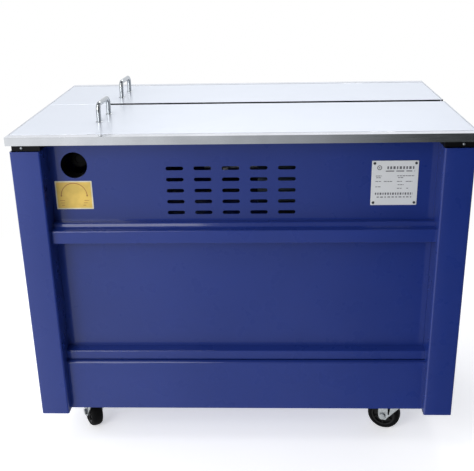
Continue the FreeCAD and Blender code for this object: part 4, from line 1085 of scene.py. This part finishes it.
def build_tension_knob():
    """The adjuster: a fluted knob on a threaded spindle with a lock nut and a spring."""
    at, axis = pivot("tension_adjuster")
    rows = [(0, -171.2), (9, -171.2), (10, -172), (15.5, -172), (17.5, -171.4), (19.4, -169.8, 1.0)]
    rows += [(20, -168.4, 1.0), (20, -148.8, 1.0), (19.4, -147.4, 1.0), (9, -147), (9, -130.6), (8.4, -130)]
    grip = lathe(at, axis, rows + [(0, -130)], 120, fluted(10, 0.09))
    # The grip is in the near-black of painted shade, darker than its plastic, so that the knob reads dark deep in
    # its hole.
    stand_in("tension_knob_grip", grip, "tension_knob", "tension_adjuster", SHADE_BLACK)
    rows = [(0, -130)]
    for turn in range(72):
        rows += [(5, 2 * turn - 130), (4.4, 2 * turn - 129)]
    mesh = lathe(at, axis, rows + [(5, 14), (0, 14)], 24)
    rows = [(0, 14), (8.4, 14), (9, 14.6, 1.0), (9, 23.4, 1.0), (8.4, 24), (0, 24)]
    turned(mesh, at, axis, in_mm(rows), 48, hexagon)
    coil(mesh, at - axis * 46 * MM, axis, 8 * MM, 1.1 * MM, 47 * MM, 9)
    turned(mesh, at, axis, in_mm([(5, -50), (10.5, -50), (10.5, -47.4), (5, -47.4)]), 40, closed=True)
    shown("tension_spindle", mesh, FINISHES["zinc"], "tension_adjuster", sharp=40)


# ---------------------------------------------------------------- reel and brake


def build_reel():
    """The reel's rolled rims and wing nut, and the brake's pad and spring."""
    for node in ("reel_stand", "strap_reel", "brake_arm"):
        dress(node, 0.5 * MM)
    at = pivot("reel")[0]
    mesh = bmesh.new()
    for y in (-68, 112):
        half = [(166, 2), (167, 3.1), (169, 3.1), (170, 2.1)]
        rows = [(radius, along + y) for radius, along in mirrored(half)]
        turned(mesh, (at.x, 0, at.z), Y, in_mm(rows), 128, closed=True)
    shown("reel_rims", mesh, FINISHES[SLOT_OF["strap_reel"]], "reel", sharp=50)
    mesh = bmesh.new()
    for wing in range(3):
        out, across = around(wing / 3 * tau)
        outline = in_mm([(-2.5, 13.5), (2.5, 13.5), (3.4, 34), (2.2, 37), (-2.2, 37), (-3.4, 34)])
        prism(mesh, outline, (at.x, 114.2 * MM, at.z), across, out, Y * 5.4 * MM)
    shown("reel_wing_nut", mesh, FINISHES["zinc"], "reel", soft_edge=0.8 * MM)
    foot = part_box("reel_stand")[0].z + 5 * MM
    spots = [(x * MM, -113 * MM, foot) for x in (-98, 48, 193)]
    bolts("reel_stand_bolts", spots, Z, 5, 4)

    mesh = bmesh.new()
    steps = 10
    outline = []
    for reach, order in ((170.7, range(steps + 1)), (173.4, range(steps, -1, -1))):
        for step in order:
            angle = radians(12.6 + 6.6 * step / steps)
            outline.append((reach * MM * cos(angle), reach * MM * sin(angle)))
    prism(mesh, outline, (at.x, -72 * MM, at.z), X, Z, Y * 8 * MM)
    shown("brake_pad", mesh, FINISHES["belt_rubber"], "brake", sharp=50)
    at = pivot("brake")[0]
    mesh = bmesh.new()
    coil(mesh, (at.x, -83.4 * MM, at.z), Y, 7.4 * MM, 0.9 * MM, 4.6 * MM, 2.5)
    shown("brake_spring", mesh, FINISHES["steel"], sharp=60)


# ---------------------------------------------------------------- door and controls


def build_door():
    """The reel door's hinges, with screws in their leaves, and its bow handle."""
    dress("door_hinges", 0.3 * MM)
    low, high, middle = box_of("door_handle")
    bottom, top = low.z + 6 * MM, high.z - 6 * MM
    bar = high.y - 3 * MM
    bends = ((low.y, bottom), (bar, bottom), (bar, top), (low.y, top))
    corners = [Vector((middle.x, y, z)) for y, z in bends]
    mesh = bmesh.new()
    swept(mesh, rounded_path(corners, [9 * MM] * 2, 10), 3 * MM, 24, 2.0)
    for z in (bottom, top):
        outline = rounded_rectangle(18 * MM, 12 * MM, 5.5 * MM)
        prism(mesh, outline, (middle.x, low.y, z), X, Z, Y * 1.6 * MM)
    stand_in("door_handle_bow", mesh, "door_handle", "door", sharp=50)
    low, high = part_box("reel_door")
    heights = [z + rise * MM for z in (low.z + 50 * MM, high.z - 50 * MM) for rise in (-7, 7)]
    screws("door_hinge_screws", [(-364 * MM, 225.5 * MM, z) for z in heights], Y, 2.6, 1.2, "door")


def build_button(node, body):
    """A push button with a domed cap."""
    low, high, at = box_of(node)
    at.y = high.y
    rows = [(0, -25), (4.6, -25), (5, -24.6), (5, -7.1), (8.6, -7), (9, -6.6), (9, -1.9), (8.4, -0.9)]
    rows += [(6, -0.25), (3, 0), (0, 0)]
    stand_in(node + "_cap", lathe(at, Y, rows, 56), node, body, sharp=40)
    rows = [(13.05, -10.9), (14.4, -10.9, 1.0), (14.4, -4.4, 1.0), (13.8, -3.6), (12.6, -3.0), (9.5, -2.9)]
    rows += [(9.5, -3.4), (13.05, -4.4)]
    ring = lathe(at, Y, rows, 160, ribbed(40, 0.03), closed=True)
    shown(node + "_bezel", ring, FINISHES["black_plastic"], sharp=40)


def build_controls():
    """The control plate's printed marks, the rocker and its frame, the timer knob and the buttons."""
    for node in ("control_panel", "control_box"):
        dress(node, 0.5 * MM)
    dress("power_switch", 0.6 * MM)
    for node, body in (("feed_button", "feed_push"), ("reset_button", "reset_push")):
        build_button(node, body)

    at = pivot("timer_dial")[0]
    rows = [(0, -30), (3, -30), (3, 0.4), (14.6, 0.5), (15, 0.9), (14.4, 3), (14.2, 4, 1.0), (13, 15.4, 1.0)]
    rows += [(12.4, 17.4), (10.5, 18), (0, 18)]
    stand_in("timer_knob_grip", lathe(at, Y, rows, 160, fluted(20, 0.06)), "feed_timer_knob", "timer_dial")
    mesh = bmesh.new()
    block(mesh, at + Vector((-0.7, 18, 2)) * MM, at + Vector((0.7, 18.15, 11)) * MM)
    shown("timer_pointer", mesh, PRINT_PALE, "timer_dial")

    face = at.y
    ink = Y * 0.12 * MM
    mesh = bmesh.new()
    for step in range(11):
        out, across = around(radians(-150 + 30 * step))
        prism(mesh, in_mm([(-0.4, 17), (0.4, 17), (0.4, 20), (-0.4, 20)]), at, across, out, ink)
    beside = ("power_switch", "feed_button", "reset_button")
    for x in [at.x] + [box_of(node)[2].x for node in beside]:
        for drop, half in ((30, 9), (33.5, 6)):
            z = at.z - drop * MM
            block(mesh, (x - half * MM, face, z), (x + half * MM, face + ink.y, z + 1.6 * MM))
    low, high, centre = box_of("control_panel")
    wide = high.x - low.x
    tall = high.z - low.z
    outer, inner = (rounded_rectangle(wide - gap * MM, tall - gap * MM, 6 * MM) for gap in (10, 12.4))
    for step in range(len(outer)):
        after = (step + 1) % len(outer)
        quad = [outer[step], outer[after], inner[after], inner[step]]
        prism(mesh, quad, (centre.x, face, centre.z), X, Z, ink)
    shown("control_panel_print", mesh, PRINT_DARK)

    mesh = bmesh.new()
    switch_low, switch_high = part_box("power_switch")
    left = switch_low.x - 0.3 * MM
    right = switch_high.x + 0.3 * MM
    bar = 2.3 * MM
    for start, low, end, high in (
        (left - bar, -18, left, 18),
        (right, -18, right + bar, 18),
        (left, 15.6, right, 18),
        (left, -18, right, -15.6),
    ):
        block(mesh, (start, face, at.z + low * MM), (end, face + 2 * MM, at.z + high * MM))
    shown("switch_frame", mesh, FINISHES["black_plastic"])


def build_gland():
    """The cable gland: threaded stem, hexagon and a ribbed dome nut."""
    low, high, middle = box_of("cable_gland")
    rows = [(4.1, 0)]
    for turn in range(8):
        rows += [(8, 0.4 + 1.4 * turn), (7.4, 1.1 + 1.4 * turn)]
    rows += [(8, 11.8), (11, 12.2, 1.0), (11, 17.2, 1.0), (9.2, 17.8), (9.2, 18.4), (8.9, 19.4), (8.2, 21.6)]
    rows += [(7.2, 22.5), (4.8, 22.5), (4.1, 21.8)]
    mesh = lathe((low.x, middle.y, middle.z), X, rows, 72, hexagon, closed=True)
    stand_in("cable_gland_turned", mesh, "cable_gland", sharp=30)


# ---------------------------------------------------------------- studio


def build_floor():
    """A pale floor disc that fades out at its rim."""
    mesh = bmesh.new()
    rings = 24
    reach = 1.6
    thick = 4 * MM
    under_the_wheels = (0, 0, -0.6 * MM)
    edge = [(reach * ring / rings, 0) for ring in range(rings, 0, -1)]
    turned(mesh, under_the_wheels, Z, [(0, -thick)] + edge + [(0, 0)], 128)
    floor = linked("floor", mesh_data("floor", mesh))
    finish = Finish("floor", Roughness=0.55, Emission_Color=(1, 1, 1, 1), Emission_Strength=0.48)
    finish.mottle(3.0, (0.93, 0.93, 0.93), (0.95, 0.95, 0.95))
    length = finish.tree.nodes.new("ShaderNodeVectorMath")
    length.operation = "LENGTH"
    finish.tree.links.new(finish.place, length.inputs[0])
    finish.feed("Alpha", finish.span(length.outputs["Value"], 1.0, 0.0, near=0.75, far=1.5))
    floor.data.materials.append(finish.material)
    floor.visible_glossy = False


def build_world():
    """A white studio: bright above, behind and to the left, darker in front to the right."""
    world = bpy.data.worlds.new("studio")
    bpy.context.scene.world = world
    world.use_nodes = True
    tree = world.node_tree
    tree.nodes.clear()
    split = tree.nodes.new("ShaderNodeSeparateXYZ")
    tree.links.new(node_output(tree, "TexCoord", "Generated"), split.inputs[0])

    def ramp(part, stops):
        """Colours by one part of the direction; stops run from 0 at -1 to 1 at +1."""
        node = tree.nodes.new("ShaderNodeValToRGB")
        node.color_ramp.interpolation = "EASE"
        while len(node.color_ramp.elements) < len(stops):
            node.color_ramp.elements.new(0.5)
        for element, (place, level) in zip(node.color_ramp.elements, stops):
            element.position = place
            element.color = (*level, 1)
        share = node_output(tree, "MapRange", "Result", Value=split.outputs[part], From_Min=-1)
        tree.links.new(share, node.inputs["Fac"])
        return node.outputs["Color"]

    stops = [(0.30, (1.04, 1.06, 1.08)), (0.38, (0.84, 0.86, 0.88)), (0.50, (0.42, 0.44, 0.46))]
    stops += [(0.61, (0.03, 0.035, 0.035)), (0.85, (0.08, 0.08, 0.09))]
    front = ramp("X", stops)
    back = ramp("X", [(0.0, (1.0, 1.02, 1.05)), (1.0, (0.95, 0.98, 1.05))])
    behind = ramp("Y", [(0.40, (0, 0, 0)), (0.60, (1, 1, 1))])
    sky = ramp("X", [(0.3, (0.55, 0.56, 0.60)), (0.7, (0.08, 0.08, 0.09))])
    above = ramp("Z", [(0.66, (0, 0, 0)), (0.92, (1, 1, 1))])
    level = mixed(tree, above, mixed(tree, behind, front, back), sky)
    around = node_output(tree, "Background", 0, Color=level, Strength=1.0)
    backdrop = node_output(tree, "Background", 0, Color=(1, 1, 1, 1))
    chosen = tree.nodes.new("ShaderNodeMixShader")
    seen = node_output(tree, "LightPath", "Is Camera Ray")
    for source, socket in zip((seen, around, backdrop), chosen.inputs):
        tree.links.new(source, socket)
    tree.links.new(chosen.outputs[0], tree.nodes.new("ShaderNodeOutputWorld").inputs["Surface"])


def softbox(name, at, aim, size, power):
    """A rectangular area light at a point, turned towards another; its long side lies level."""
    data = bpy.data.lights.new(name, "AREA")
    data.shape = "RECTANGLE"
    data.size, data.size_y = size
    data.energy = power
    light = linked(name, data)
    light.location = at
    light.rotation_mode = "QUATERNION"
    light.rotation_quaternion = (Vector(aim) - Vector(at)).to_track_quat("-Z", "Y")


def build_camera():
    """The viewpoint: in front, a little right of the middle, looking down at the machine."""
    yaw, pitch, roll = -0.0417, 0.3657, -0.0197
    eye = (0.04985, -1.6938, 1.0715)
    focal_length = 57.795
    ahead = Vector((sin(yaw) * cos(pitch), cos(yaw) * cos(pitch), -sin(pitch)))
    right = Vector((cos(yaw), -sin(yaw), 0))
    up = right.cross(ahead)
    leaned_right = right * cos(roll) + up * sin(roll)
    leaned_up = up * cos(roll) - right * sin(roll)
    data = bpy.data.cameras.new("camera")
    data.sensor_fit = "HORIZONTAL"
    data.sensor_width = 36
    data.lens = focal_length
    camera = linked("camera", data)
    turn = Matrix((leaned_right, leaned_up, -ahead)).transposed()
    camera.matrix_world = Matrix.Translation(eye) @ turn.to_4x4()
    bpy.context.scene.camera = camera


def build_studio():
    build_floor()
    build_world()
    softbox("key", (-0.95, -1.60, 1.15), (-0.30, -0.2, 0.42), (0.9, 0.9), 15.3)
    softbox("strip", (-0.62, -1.00, 2.00), (-0.30, -0.25, 0.4), (0.8, 0.5), 5.0)
    softbox("fill", (0.2, 1.5, 2.4), (0, 0, 0.6), (1.6, 1.6), 18)
    build_camera()
    bpy.context.scene.view_settings.view_transform = "Standard"


build_table()
build_cabinet()
build_nameplate()
build_tension_label()
build_painted_shade_sleeve()
build_screws()
build_casters()
build_head()
build_drive()
build_feed()
build_tension_knob()
build_reel()
build_door()
build_controls()
build_gland()
build_studio()
